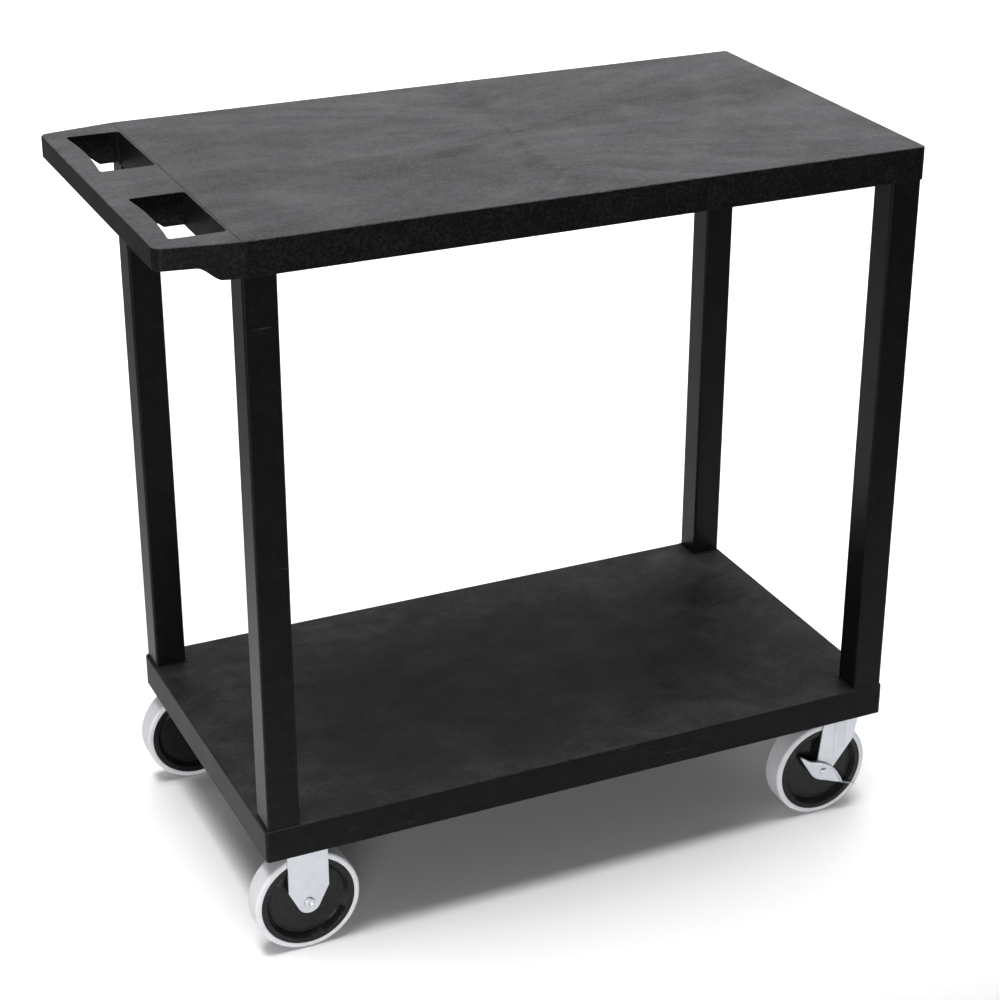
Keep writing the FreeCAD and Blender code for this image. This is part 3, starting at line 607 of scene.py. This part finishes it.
@dataclass(frozen=True)
class SoftTread:
    """Pale grey non-marking tread with dull scuffs where it rolls."""

    name: str
    slot: str
    base: Colour = (0.5, 0.505, 0.53)
    scuffed: Colour = (0.375, 0.375, 0.38)
    # Colour of the random grime.
    grime_and_shade: Colour = (0.2, 0.19, 0.18)
    # Colour of the painted shade in the tread's creases.
    crease_shade: Colour = (0.06, 0.058, 0.055)
    flecked: Colour = (0.62, 0.62, 0.63)
    rough: Ends = (0.5, 0.68)
    specular: float = 0.35

    def make(self, effects: Effects) -> Material:
        """Builds the material.

        Args:
            effects: the shared shader groups.

        Returns:
            The material.
        """
        material, w, shader = new_material(self.name)
        here = w.place()
        grain = w.group(effects.grain, here, Scale=700.0)
        smear = w.group(effects.smear, here, Scale=40.0)
        grime = w.span(w.noise(here, 55.0, 6.0, 0.7), 0.5, 0.8)
        crevice = w.group(effects.crevice, here, Width=0.0016, Amount=0.7)
        colour = w.veil(self.base, smear["Value"], 0.16, self.scuffed)
        colour = w.veil(colour, grime, 0.22, self.grime_and_shade)
        # Painted shade: darkens the tread where it meets the core and in its creases, by the
        # ambient-occlusion mask.
        colour = w.blend(crevice["Mask"], colour, self.crease_shade)
        colour = w.veil(colour, grain["Speckle"], 0.12, self.flecked)
        w.feed(shader, "Base Color", colour)
        w.feed(shader, "Roughness", w.span(smear["Value"], 0.0, 1.0, *self.rough, soft=False))
        w.feed(shader, "Specular IOR Level", self.specular)
        add_bump(w, shader, grain["Height"], 0.00004)
        return material


@dataclass(frozen=True)
class ZincPlate:
    """Bright zinc plating on rolled or turned steel."""

    name: str
    slot: str
    base: Colour = (0.57, 0.59, 0.625)
    dull: Colour = (0.46, 0.478, 0.51)
    rough: Ends = (0.28, 0.44)
    cloud_scale: float = 55.0
    cloud: float = 0.4
    crevice: float = 0.002
    metallic: float = 0.9
    rubbed: Colour = (0.8, 0.81, 0.83)
    scratched: Colour = (0.3, 0.3, 0.31)
    # Colour of the painted shade in crevices.
    grime_and_shade: Colour = (0.09, 0.092, 0.1)

    def make(self, effects: Effects) -> Material:
        """Builds the material.

        Args:
            effects: the shared shader groups.

        Returns:
            The material.
        """
        material, w, shader = new_material(self.name)
        here = w.place()
        sheet = w.group(effects.brush, here, Cloud_Scale=self.cloud_scale)
        rub = w.group(effects.rub, here, Width=0.0007, Patchy=0.5)
        smear = w.group(effects.smear, here, Scale=30.0)
        crevice = w.group(effects.crevice, here, Width=self.crevice, Amount=0.75)
        colour = w.veil(self.base, sheet["Cloud"], self.cloud, self.dull)
        # Rubbed edges with a painted edge highlight: lightens edges, bolt heads and the pressed ridges.
        colour = w.veil(colour, rub["Mask"], 0.5, self.rubbed)
        colour = w.veil(colour, smear["Scratch"], 0.3, self.scratched)
        # Painted shade: darkens the zinc round bolt heads, along the pressed ridges and in corners, by the
        # ambient-occlusion mask.
        colour = w.blend(crevice["Mask"], colour, self.grime_and_shade)
        w.feed(shader, "Base Color", colour)
        w.feed(shader, "Metallic", self.metallic)
        mix = w.plus(w.times(sheet["Cloud"], 0.6),
                     w.times(sheet["Grain"], 0.4))
        w.feed(shader, "Roughness", w.span(mix, 0.0, 1.0, *self.rough, soft=False))
        add_bump(w, shader, sheet["Grain"], 0.00002)
        return material


Finish = Union[MouldedPlastic, GlossCore, SoftTread, ZincPlate]

PRESSED = ZincPlate("pressed_zinc", "frame_zinc")
TURNED = ZincPlate("turned_zinc", "bolt_steel", rough=(0.22, 0.36), cloud_scale=200.0)


def new_material(name: str) -> tuple[Material, Wiring, Node]:
    """Starts a node material.

    Args:
        name: the material's name.

    Returns:
        The material, its wiring and its Principled shader.
    """
    material = bpy.data.materials.new(name)
    material.use_nodes = True
    wiring = Wiring(material.node_tree)
    shader = next(n for n in material.node_tree.nodes if n.type == "BSDF_PRINCIPLED")
    return material, wiring, shader


def add_bump(w: Wiring, shader: Node, height: NodeSocket, depth: float) -> None:
    """Raises a height on the shader's normal.

    Args:
        w: the material's wiring.
        shader: its Principled shader.
        height: the height, 0 to 1.
        depth: how far 1 stands up, in metres.
    """
    bump = w.node("ShaderNodeBump")
    w.feed(bump, "Height", height)
    w.feed(bump, "Distance", depth)
    w.feed(shader, "Normal", bump.outputs["Normal"])


class Paint:
    """The cart's finishes, each built once and put on frame pieces by name."""

    def __init__(self) -> None:
        """Builds the shared effects."""
        self.effects = Effects()
        self.made: dict[str, Material] = {}

    def material(self, finish: Finish) -> Material:
        """The material of a finish.

        Args:
            finish: the finish wanted.

        Returns:
            Its material.
        """
        if finish.name not in self.made:
            self.made[finish.name] = finish.make(self.effects)
        return self.made[finish.name]

    def coat(self, node: str, finish: Finish) -> None:
        """Puts a finish on a frame piece.

        Args:
            node: the piece's name in the frame.
            finish: what it gets.
        """
        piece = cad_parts[node]
        made = self.material(finish)
        for spot in piece.material_slots:
            spot.material = made
        log.info("%s: %s", node, finish.name)

    def cover(self, piece: Object, finish: Finish, body: str, nodes: Sequence[str]) -> None:
        """Finishes a new piece that stands for frame pieces.

        Args:
            piece: the new piece.
            finish: what it gets.
            body: the body that it moves with.
            nodes: the frame pieces that it stands for.
        """
        piece.data.materials.clear()
        piece.data.materials.append(self.material(finish))
        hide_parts(*nodes)
        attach(piece, body)
        log.info("%s: %s on %s", piece.name, finish.name, body)


# ---------- mesh making


def arc(centre: Point, radius: float, start: float, end: float, steps: int = 6) -> list[Point]:
    """Points along a round stretch of an outline.

    Args:
        centre: its middle.
        radius: its radius.
        start: where it starts, in degrees.
        end: where it ends, in degrees.
        steps: number of stretches.

    Returns:
        The points, both ends included.
    """
    turns = [math.radians(start + (end - start) * i / steps) for i in range(steps + 1)]
    return [(centre[0] + radius * math.cos(t), centre[1] + radius * math.sin(t)) for t in turns]


def eased(value: float) -> float:
    """A value held between 0 and 1 and eased at both ends."""
    held = min(1.0, max(0.0, value))
    return held * held * (3.0 - 2.0 * held)


def through(knots: Sequence[Point], count: int) -> list[Point]:
    """A smooth line through a few points.

    Args:
        knots: the points that it passes.
        count: number of stretches.

    Returns:
        The points along it, evenly spread over the knots.
    """
    line = []
    for i in range(count + 1):
        at = (len(knots) - 1) * i / count
        k = min(int(at), len(knots) - 2)
        t = at - k
        a, b, c, d = (Vector(knots[min(max(j, 0), len(knots) - 1)]) for j in (k - 1, k, k + 1, k + 2))
        curve = (b * 2.0 + (c - a) * t + (a * 2.0 - b * 5.0 + c * 4.0 - d) * t * t
                 + (b * 3.0 - a - c * 3.0 + d) * t ** 3)
        line.append((curve.x / 2.0, curve.y / 2.0))
    return line


def loop_faces(shape: BMesh, rings: Sequence[Sequence[BMVert]], closed: bool) -> None:
    """Skins a row of rings that have equally many corners.

    Args:
        shape: the mesh being made.
        rings: the rings, in order.
        closed: join the last ring to the first; otherwise both ends are capped.
    """
    for a, b in zip(rings, list(rings[1:]) + ([rings[0]] if closed else [])):
        for i in range(len(a)):
            j = (i + 1) % len(a)
            shape.faces.new((a[i], a[j], b[j], b[i]))
    if not closed:
        shape.faces.new(rings[0])
        shape.faces.new(rings[-1])


def hang(thing: Object) -> None:
    """Puts an object in the scene."""
    bpy.context.scene.collection.objects.link(thing)


def settle(name: str, shape: BMesh, sharp: float = CRISP_ANGLE) -> Object:
    """Turns a finished mesh into a piece.

    Args:
        name: the piece's name.
        shape: the mesh, which is used up.
        sharp: edges that bend more than this, in degrees, stay crisp.

    Returns:
        The piece.
    """
    bmesh.ops.recalc_face_normals(shape, faces=shape.faces)
    mesh = bpy.data.meshes.new(name)
    shape.to_mesh(mesh)
    shape.free()
    mesh.polygons.foreach_set("use_smooth", [True] * len(mesh.polygons))
    mesh.set_sharp_from_angle(angle=math.radians(sharp))
    piece = bpy.data.objects.new(name, mesh)
    hang(piece)
    even = piece.modifiers.new("even_shading", "WEIGHTED_NORMAL")
    even.keep_sharp = True
    return piece


def rounds(shape: BMesh, outline: Sequence[Point], centre: Vector,
           steps: int) -> list[list[BMVert]]:
    """Adds rings of corners round an axle that lies along Y.

    Args:
        shape: the mesh being made.
        outline: radius and place along the axle of each ring.
        centre: the axle's zero point.
        steps: number of corners in a ring.

    Returns:
        The rings, in order.
    """
    turns = [2.0 * math.pi * i / steps for i in range(steps)]
    return [[shape.verts.new(centre + Vector((r * math.cos(t), off, r * math.sin(t)))) for t in turns]
            for r, off in outline]


def turned(name: str, outline: Sequence[Point], centre: Vector, steps: int = 112) -> Object:
    """Turns a closed outline round an axle that lies along Y.

    Args:
        name: the piece's name.
        outline: radius and place along the axle of each point.
        centre: where the axle and the wheel's middle plane meet.
        steps: number of facets round the turn.

    Returns:
        The piece.
    """
    shape = bmesh.new()
    loop_faces(shape, rounds(shape, outline, centre, steps), closed=True)
    return settle(name, shape, sharp=CRISP_TURN)


def islands(node: str) -> list[tuple[Vector, Vector]]:
    """The boxes of the separate solids in a frame piece.

    Args:
        node: the piece's name in the frame.

    Returns:
        Lowest and highest corner of each solid.
    """
    shape = bmesh.new()
    shape.from_mesh(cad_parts[node].data)
    bmesh.ops.remove_doubles(shape, verts=shape.verts, dist=SAME_SPOT)
    left = set(shape.verts)
    boxes = []
    while left:
        queue = [left.pop()]
        found = []
        while queue:
            spot = queue.pop()
            found.append(spot.co.copy())
            near = {edge.other_vert(spot) for edge in spot.link_edges} & left
            left -= near
            queue.extend(near)
        boxes.append(tuple(Vector(pick(p[i] for p in found) for i in range(3)) for pick in (min, max)))
    shape.free()
    return sorted(boxes, key=lambda b: tuple(b[0]))


def middle(node: str) -> Vector:
    """The middle of a frame piece's box."""
    low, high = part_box(node)
    return (low + high) / 2.0


def bored(piece: Object, radius: float, at: Vector, reach: float, steps: int = 48) -> None:
    """Cuts a round hole along Y through a piece.

    Args:
        piece: the piece.
        radius: the hole's radius.
        at: a point on the hole's axis, within the piece.
        reach: how far the cut runs each way from that point.
        steps: number of facets round the hole.
    """
    shape = bmesh.new()
    loop_faces(shape, rounds(shape, [(radius, -reach), (radius, reach)], at, steps), closed=False)
    cutter = settle("cutter", shape)
    cut = piece.modifiers.new("bore", "BOOLEAN")
    cut.operation = "DIFFERENCE"
    cut.solver = "EXACT"
    cut.object = cutter
    bpy.context.view_layer.update()
    whole = piece.evaluated_get(bpy.context.evaluated_depsgraph_get())
    mesh = bpy.data.meshes.new_from_object(whole)
    piece.modifiers.clear()
    piece.data = mesh
    bpy.data.objects.remove(cutter)


# ---------- sub-assemblies


@dataclass(frozen=True)
class Decks:
    """The two moulded decks."""

    upper: MouldedPlastic = MouldedPlastic("upper_deck_plastic", "shelf_top_plastic")
    # Painted shade: the lower deck's pale is a third of the upper's, as the upper deck shades it.
    lower: MouldedPlastic = MouldedPlastic(
        "lower_deck_plastic", "shelf_low_plastic", base=(0.003, 0.003, 0.0033), pale=(0.027, 0.027, 0.0295),
        mottle=0.1, bend=0.16,
        level=Marks(floor=0.2, streak=0.5, cloud=0.3, fibre=0.14, lobe=0.08, seam=0.16, pool=0.24))

    def dress(self, paint: Paint) -> None:
        """Puts the plastics on.

        Args:
            paint: the cart's finishes.
        """
        paint.coat("top_shelf", self.upper)
        paint.coat("lower_shelf", self.lower)


@dataclass(frozen=True)
class Legs:
    """The four square legs and their plugs."""

    ends: tuple[str, ...] = ("rear", "front")
    tube: MouldedPlastic = MouldedPlastic(
        "leg_tube_plastic", "leg_plastic", mottle=0.03, speckle=0.12, rough=(0.32, 0.4), specular=0.08,
        grain_scale=1100.0, dust=0.1)
    plug: MouldedPlastic = MouldedPlastic("leg_plug_plastic", "plug_plastic", mottle=0.2)

    def dress(self, paint: Paint) -> None:
        """Puts the finishes on.

        Args:
            paint: the cart's finishes.
        """
        for end in self.ends:
            for side in Side:
                paint.coat(f"leg_{end}_{side.word}", self.tube)
                paint.coat(f"leg_plug_{end}_{side.word}", self.plug)


class Head(Enum):
    """How a screw's head ends."""

    PAN = "pan"
    COUNTERSUNK = "countersunk"


@dataclass(frozen=True)
class Screws:
    """Cross-recess screws that stand point up, one for each solid of a frame piece."""

    node: str
    head: Head
    head_h: float
    shank_r: float
    finish: ZincPlate = ZincPlate("screw_zinc", "screw_steel")
    recess_r: float = 0.0026
    recess_depth: float = 0.0015
    arm_half: float = 0.00055
    edge: float = 0.0004
    point: float = 0.002
    point_share: float = 0.25
    crown: float = 0.5
    face: tuple[float, ...] = (0.06, 0.14, 0.22, 0.3, 0.38, 0.46, 0.54, 0.7, 0.85, 0.95, 1.0)
    sunk_rows: float = 0.4
    steps: int = 48

    def build(self) -> Object:
        """Makes the screws.

        Returns:
            One piece with all of them.
        """
        shape = bmesh.new()
        for low, high in islands(self.node):
            self._screw(shape, low, high)
        return settle(f"{self.node}_turned", shape)

    def dress(self, paint: Paint) -> None:
        """Builds the screws and puts their zinc on.

        Args:
            paint: the cart's finishes.
        """
        paint.cover(self.build(), self.finish, "cart", [self.node])

    def _screw(self, shape: BMesh, low: Vector, high: Vector) -> None:
        """Adds one screw.

        Args:
            shape: the mesh being made.
            low: lowest corner of the room it has.
            high: highest corner of it.
        """
        head_r = (high.x - low.x) / 2.0
        seat = low.z + self.head_h
        rise = self.head_h * self.crown if self.head is Head.PAN else 0.0
        rows = [(head_r * share, low.z + rise * (1.0 - math.sqrt(1.0 - share ** 3))) for share in self.face]
        if self.head is Head.PAN:
            rows.append((head_r, seat))
        rows += [(self.shank_r, seat), (self.shank_r, high.z - self.point)]
        rows.append((self.shank_r * self.point_share, high.z))
        rings = []
        for r, z in rows:
            ring = []
            for i in range(self.steps):
                turn = 2.0 * math.pi * i / self.steps
                x, y = r * math.cos(turn), r * math.sin(turn)
                sunk = self._recess(x, y) if z < seat - self.head_h * self.sunk_rows else 0.0
                ring.append(shape.verts.new(((low.x + high.x) / 2 + x, (low.y + high.y) / 2 + y, z + sunk)))
            rings.append(ring)
        loop_faces(shape, rings, closed=False)

    def _recess(self, x: float, y: float) -> float:
        """Depth of the cross recess at a point of the head.

        Args:
            x: across the head, from its middle.
            y: the other way across.

        Returns:
            The depth.
        """
        arm = min(abs(x), abs(y))
        inside = eased((self.arm_half + self.edge - arm) / self.edge)
        return self.recess_depth * inside * eased((self.recess_r - math.hypot(x, y)) / self.edge)


@dataclass(frozen=True)
class Wheel:
    """A dished black core with a pale tread moulded round it."""

    place: str
    core: GlossCore = GlossCore("wheel_core_black", "core_plastic")
    tread: SoftTread = SoftTread("pale_tread", "tread_rubber")
    bore: float = 0.00605
    hub_r: float = 0.013
    hub_half: float = 0.0128
    foot_r: float = 0.0145
    disc_half: float = 0.008
    fillet: float = 0.0012
    bead_at: float = 0.0425
    bead_r: float = 0.0008
    bead_sunk: float = 0.3
    step_r: float = 0.0455
    rim_in_r: float = 0.0498
    rim_half: float = 0.0152
    rim_r: float = 0.0565
    ease: float = 0.0006
    shoulder: float = 0.0035
    parting: float = 0.00012
    parting_slope: float = 4.0

    def dress(self, paint: Paint, side: Side) -> None:
        """Builds the wheel and puts the finishes on.

        Args:
            paint: the cart's finishes.
            side: which side of the cart.
        """
        body = f"{self.place}_wheel_{side.word}"
        for part, outline, finish in (("core", self._core_outline(), self.core),
                                      ("tread", self._tread_outline(side), self.tread)):
            node = f"{self.place}_wheel_{part}_{side.word}"
            piece = turned(f"{part}_{self.place}_{side.word}", outline, middle(node))
            paint.cover(piece, finish, body, [node])

    def _core_outline(self) -> list[Point]:
        """Outline of the core: hub, dished disc with a raised ring, sloping wall and flat rim.

        Returns:
            The outline.
        """
        ease, fillet = self.ease, self.fillet
        side = [(self.bore, self.hub_half)]
        side += arc((self.hub_r - ease, self.hub_half - ease), ease, 90, 0)
        side += arc((self.foot_r + fillet, self.disc_half + fillet), fillet, 195, 270)
        side += arc((self.bead_at, self.disc_half - self.bead_r * self.bead_sunk), self.bead_r, 160, 20, 12)
        side += arc((self.step_r - fillet, self.disc_half + fillet), fillet, 270, 345)
        side += arc((self.rim_in_r + ease, self.rim_half - ease), ease, 165, 90)
        side += arc((self.rim_r - ease, self.rim_half - ease), ease, 90, 0)
        return side + [(r, -off) for r, off in reversed(side)]

    def _tread_outline(self, side: Side) -> list[Point]:
        """Outline of the tread: eased inner edge, round shoulder and a parting line in the middle.

        Args:
            side: which side of the cart.

        Returns:
            The outline.
        """
        low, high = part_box(f"{self.place}_wheel_tread_{side.word}")
        half = (high.y - low.y) / 2.0
        full = (high.z - low.z) / 2.0
        roll = full - self.parting
        edge = [(self.rim_r, half - self.ease), (self.rim_r + self.ease, half)]
        edge += arc((roll - self.shoulder, half - self.shoulder), self.shoulder, 90, 0, 8)
        edge += [(roll, self.parting * self.parting_slope), (full, self.parting)]
        return edge + [(r, -off) for r, off in reversed(edge)]


@dataclass(frozen=True)
class Pedal:
    """Leaf-shaped rocker pedal of the side brake, with a curled lip that carries on as the toe tab.

    Outline points are measured from the axle, along the cart and up.
    """

    finish: ZincPlate
    thick: float = 0.0016
    lip: float = 0.003
    rear_tip: Point = (-0.0335, 0.0279)
    front_end: Point = (0.0276, -0.0217)
    front_tip: Point = (0.0484, -0.0299)
    upper: tuple[Point, ...] = ((-0.0195, 0.0186), (-0.006, 0.0146), (0.013, 0.003), (0.0249, -0.014))
    lower: tuple[Point, ...] = ((-0.0245, 0.0105), (-0.0115, -0.0075), (0.0080, -0.0160))
    lip_shift: Point = (-0.00094, -0.0013)
    boss_r: float = 0.0098
    boss_h: float = 0.0005
    boss_slope: float = 0.0022
    rim_in: float = 0.0018
    rim_h: float = 0.0003
    rim_room: float = 0.006
    fold_share: float = 0.45
    tab_taper: float = 0.3
    soft_share: float = 0.2
    soft_angle: float = 50.0
    bore: float = 0.00405
    leaf_steps: int = 56
    tab_steps: int = 12
    rows: int = 14

    def dress(self, paint: Paint, side: Side) -> None:
        """Builds the pedal and puts its zinc on.

        Args:
            paint: the cart's finishes.
            side: which side of the cart.
        """
        node = f"brake_pedal_{side.word}"
        low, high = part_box(node)
        axle = middle(f"swivel_axle_sleeve_{side.word}")
        axle.y = high.y if side is Side.RIGHT else low.y
        shape = bmesh.new()
        top, bottom = self._edges()
        rings = []
        for high_point, low_point in zip(top, bottom):
            spots = self._section(Vector(high_point), Vector(low_point))
            rings.append([shape.verts.new(axle + Vector((x, out * side.value, z))) for x, out, z in spots])
        loop_faces(shape, rings, closed=False)
        piece = settle(f"pedal_{side.word}", shape)
        bored(piece, self.bore, axle, self.thick * 3.0)
        soften = piece.modifiers.new("pressed_edges", "BEVEL")
        soften.width = self.thick * self.soft_share
        soften.segments = 2
        soften.angle_limit = math.radians(self.soft_angle)
        paint.cover(piece, self.finish, f"brake_{side.word}", [node])

    def _edges(self) -> tuple[list[Point], list[Point]]:
        """The ridge and the lower edge, station by station.

        Returns:
            Points of the ridge and of the lower edge.
        """
        shift_x, shift_z = self.lip_shift
        top = through((self.rear_tip, *self.upper, self.front_end), self.leaf_steps)
        ends = [(x + shift_x, z + shift_z) for x, z in (self.rear_tip, self.front_end)]
        bottom = through((ends[0], *self.lower, ends[1]), self.leaf_steps)
        for i in range(1, self.tab_steps + 1):
            share = i / self.tab_steps
            x, z = (a + (b - a) * share for a, b in zip(self.front_end, self.front_tip))
            top.append((x, z))
            kept = 1.0 - self.tab_taper * share
            bottom.append((x + shift_x * kept, z + shift_z * kept))
        return top, bottom

    def _section(self, top: Vector, bottom: Vector) -> list[Spot]:
        """One cut across the pedal.

        Args:
            top: the ridge point.
            bottom: the lower edge point.

        Returns:
            Points round the cut: along, out from the fork and up.
        """
        wide = (top - bottom).length
        across = (top - bottom) / wide
        fold = min(self.thick, wide * self.fold_share)
        spots = []
        for i in range(self.rows + 1):
            at = (wide - fold) * i / self.rows
            spot = bottom + across * at
            raised = self.boss_h * eased((self.boss_r - spot.length) / self.boss_slope)
            rim = self.rim_h * eased(1.0 - abs(at - self.rim_in) / self.rim_in)
            rim *= eased(wide / self.rim_room - 1.0)
            spots.append((at, self.thick + raised + rim))
        deep = self.thick + self.lip
        spots += [(wide - fold, deep), (wide, deep), (wide, self.thick)]
        spots += [(wide, 0.0), (wide / 2.0, 0.0), (0.0, 0.0)]
        placed = [(bottom + across * at, out) for at, out in spots]
        return [(spot.x, out, spot.y) for spot, out in placed]


@dataclass(frozen=True)
class Caster:
    """What both casters have: pressed sheet, turned hardware and a wheel."""

    pressed: tuple[str, ...]
    turned: tuple[str, ...]
    wheel: Wheel
    sheet: ZincPlate = PRESSED
    hardware: ZincPlate = TURNED

    def dress(self, paint: Paint, side: Side) -> None:
        """Puts the finishes on.

        Args:
            paint: the cart's finishes.
            side: which side of the cart.
        """
        for names, finish in ((self.pressed, self.sheet), (self.turned, self.hardware)):
            for name in names:
                paint.coat(f"{name}_{side.word}", finish)
        self.wheel.dress(paint, side)


@dataclass(frozen=True)
class RigidCaster(Caster):
    """Rear caster: bracket, axle hardware and wheel."""

    pressed: tuple[str, ...] = ("rigid_bracket",)
    turned: tuple[str, ...] = ("rigid_axle_bolt", "rigid_axle_nut", "rigid_axle_sleeve")
    wheel: Wheel = Wheel("rear")


@dataclass(frozen=True)
class SwivelCaster(Caster):
    """Front caster: plate, bearing, fork, brake and wheel."""

    pressed: tuple[str, ...] = ("swivel_plate", "swivel_race_cup", "swivel_fork")
    turned: tuple[str, ...] = ("swivel_kingpin", "swivel_axle_bolt", "swivel_axle_nut",
                               "swivel_axle_sleeve", "brake_cam", "brake_shoe")
    wheel: Wheel = Wheel("front")
    pedal: Pedal = Pedal(PRESSED)
    balls: ZincPlate = ZincPlate("polished_ball", "ball_steel", base=(0.7, 0.7, 0.72), rough=(0.08, 0.16))

    def dress(self, paint: Paint, side: Side) -> None:
        """Puts the finishes on, with the balls' polish and the pedal first.

        Args:
            paint: the cart's finishes.
            side: which side of the cart.
        """
        paint.coat(f"swivel_balls_{side.word}", self.balls)
        self.pedal.dress(paint, side)
        super().dress(paint, side)


# ---------- studio


@dataclass(frozen=True)
class SoftBox:
    """One rectangular light."""

    name: str
    at: Spot
    toward: Spot
    size: Point
    watts: float
    spread: float = 180.0

    def build(self) -> None:
        """Makes the light and hangs it."""
        data = bpy.data.lights.new(self.name, "AREA")
        data.shape = "RECTANGLE"
        data.size, data.size_y = self.size
        data.energy = self.watts
        data.spread = math.radians(self.spread)
        light = bpy.data.objects.new(self.name, data)
        light.location = self.at
        aim = Vector(self.toward) - Vector(self.at)
        light.rotation_euler = aim.to_track_quat("-Z", "Y").to_euler()
        hang(light)


@dataclass(frozen=True)
class Studio:
    """Pale floor, soft lights and the camera."""

    camera_at: Spot = (-1.0681, -2.3879, 1.6474)
    azimuth: float = -25.8
    elevation: float = 25.99
    roll: float = 0.63
    lens: float = 86.0
    sensor: float = 36.0
    sight: float = 100.0
    shift: Point = (-0.0442, 0.0326)
    floor_reach: float = 30.0
    floor_tone: Colour = (0.86, 0.86, 0.86)
    floor_cloud: Colour = (0.8471, 0.8471, 0.8471)
    floor_rough: float = 0.9
    floor_specular: float = 0.1
    sky: float = 0.14
    boxes: tuple[SoftBox, ...] = (
        SoftBox("canopy", (2.1, 1.45, 2.4), (2.1, 1.45, 0.0), (5.0, 4.3), 98.0, spread=42.0),
        SoftBox("far_floor", (1.8, 5.2, 2.6), (1.8, 5.2, 0.0), (6.0, 3.6), 85.0, spread=80.0),
        SoftBox("behind", (1.2, 2.6, 2.08), (0.3, 0.0, 0.8), (4.0, 1.4), 30.0),
        SoftBox("front_left", (-2.0, -3.9, 0.55), (0.0, 0.0, 0.12), (1.8, 0.8), 27.0, spread=80.0),
        SoftBox("near_floor", (-1.25, -0.2, 2.2), (-1.25, -0.2, 0.0), (1.3, 1.4), 18.0, spread=46.0),
    )

    def build(self) -> None:
        """Makes the floor, lights, world and camera."""
        self._floor()
        for box in self.boxes:
            box.build()
        self._world()
        self._camera()
        view = bpy.context.scene.view_settings
        view.view_transform = "Standard"
        view.look = "None"
        view.exposure = 0.0
        view.gamma = 1.0

    def _floor(self) -> None:
        """Lays the floor."""
        reach = self.floor_reach
        mesh = bpy.data.meshes.new("floor")
        corners = [(x * reach, y * reach, 0.0) for x, y in ((-1, -1), (1, -1), (1, 1), (-1, 1))]
        mesh.from_pydata(corners, [], [(0, 1, 2, 3)])
        floor = bpy.data.objects.new("floor", mesh)
        hang(floor)
        material, w, shader = new_material("studio_floor")
        cloud = w.noise(w.place(), 1.5, 3.0, 0.5)
        w.feed(shader, "Base Color", w.blend(cloud, self.floor_tone, self.floor_cloud))
        w.feed(shader, "Roughness", self.floor_rough)
        w.feed(shader, "Specular IOR Level", self.floor_specular)
        mesh.materials.append(material)

    def _world(self) -> None:
        """Fills the room with faint even light."""
        world = bpy.data.worlds.new("room")
        world.use_nodes = True
        back = next(n for n in world.node_tree.nodes if n.type == "BACKGROUND")
        back.inputs["Color"].default_value = (1.0, 1.0, 1.0, 1.0)
        back.inputs["Strength"].default_value = self.sky
        bpy.context.scene.world = world

    def _camera(self) -> None:
        """Stands the camera and makes it the scene's own."""
        data = bpy.data.cameras.new("camera")
        data.sensor_width = self.sensor
        data.lens = self.lens
        data.shift_x, data.shift_y = self.shift
        data.clip_end = self.sight
        camera = bpy.data.objects.new("camera", data)
        turn = math.radians(self.azimuth)
        tilt = math.radians(self.elevation)
        lean = math.radians(self.roll)
        back = Vector((math.sin(turn) * math.cos(tilt), -math.cos(turn) * math.cos(tilt), math.sin(tilt)))
        level = Vector((0.0, 0.0, 1.0)).cross(back).normalized()
        rise = back.cross(level)
        right = level * math.cos(lean) + rise * math.sin(lean)
        up = rise * math.cos(lean) - level * math.sin(lean)
        axes = Matrix((right, up, back)).transposed().to_4x4()
        camera.matrix_world = Matrix.Translation(self.camera_at) @ axes
        hang(camera)
        bpy.context.scene.camera = camera


def main() -> None:
    """Builds the cart's looks, piece by piece."""
    logging.basicConfig(level=logging.INFO, format="%(name)s %(message)s")
    paint = Paint()
    Decks().dress(paint)
    Legs().dress(paint)
    Screws("leg_screws", Head.COUNTERSUNK, head_h=0.0028, shank_r=0.0025).dress(paint)
    Screws("caster_screws", Head.PAN, head_h=0.0032, shank_r=0.003).dress(paint)
    rigid = RigidCaster()
    swivel = SwivelCaster()
    for side in Side:
        rigid.dress(paint, side)
        swivel.dress(paint, side)
    Studio().build()


if __name__ == "__main__":
    main()
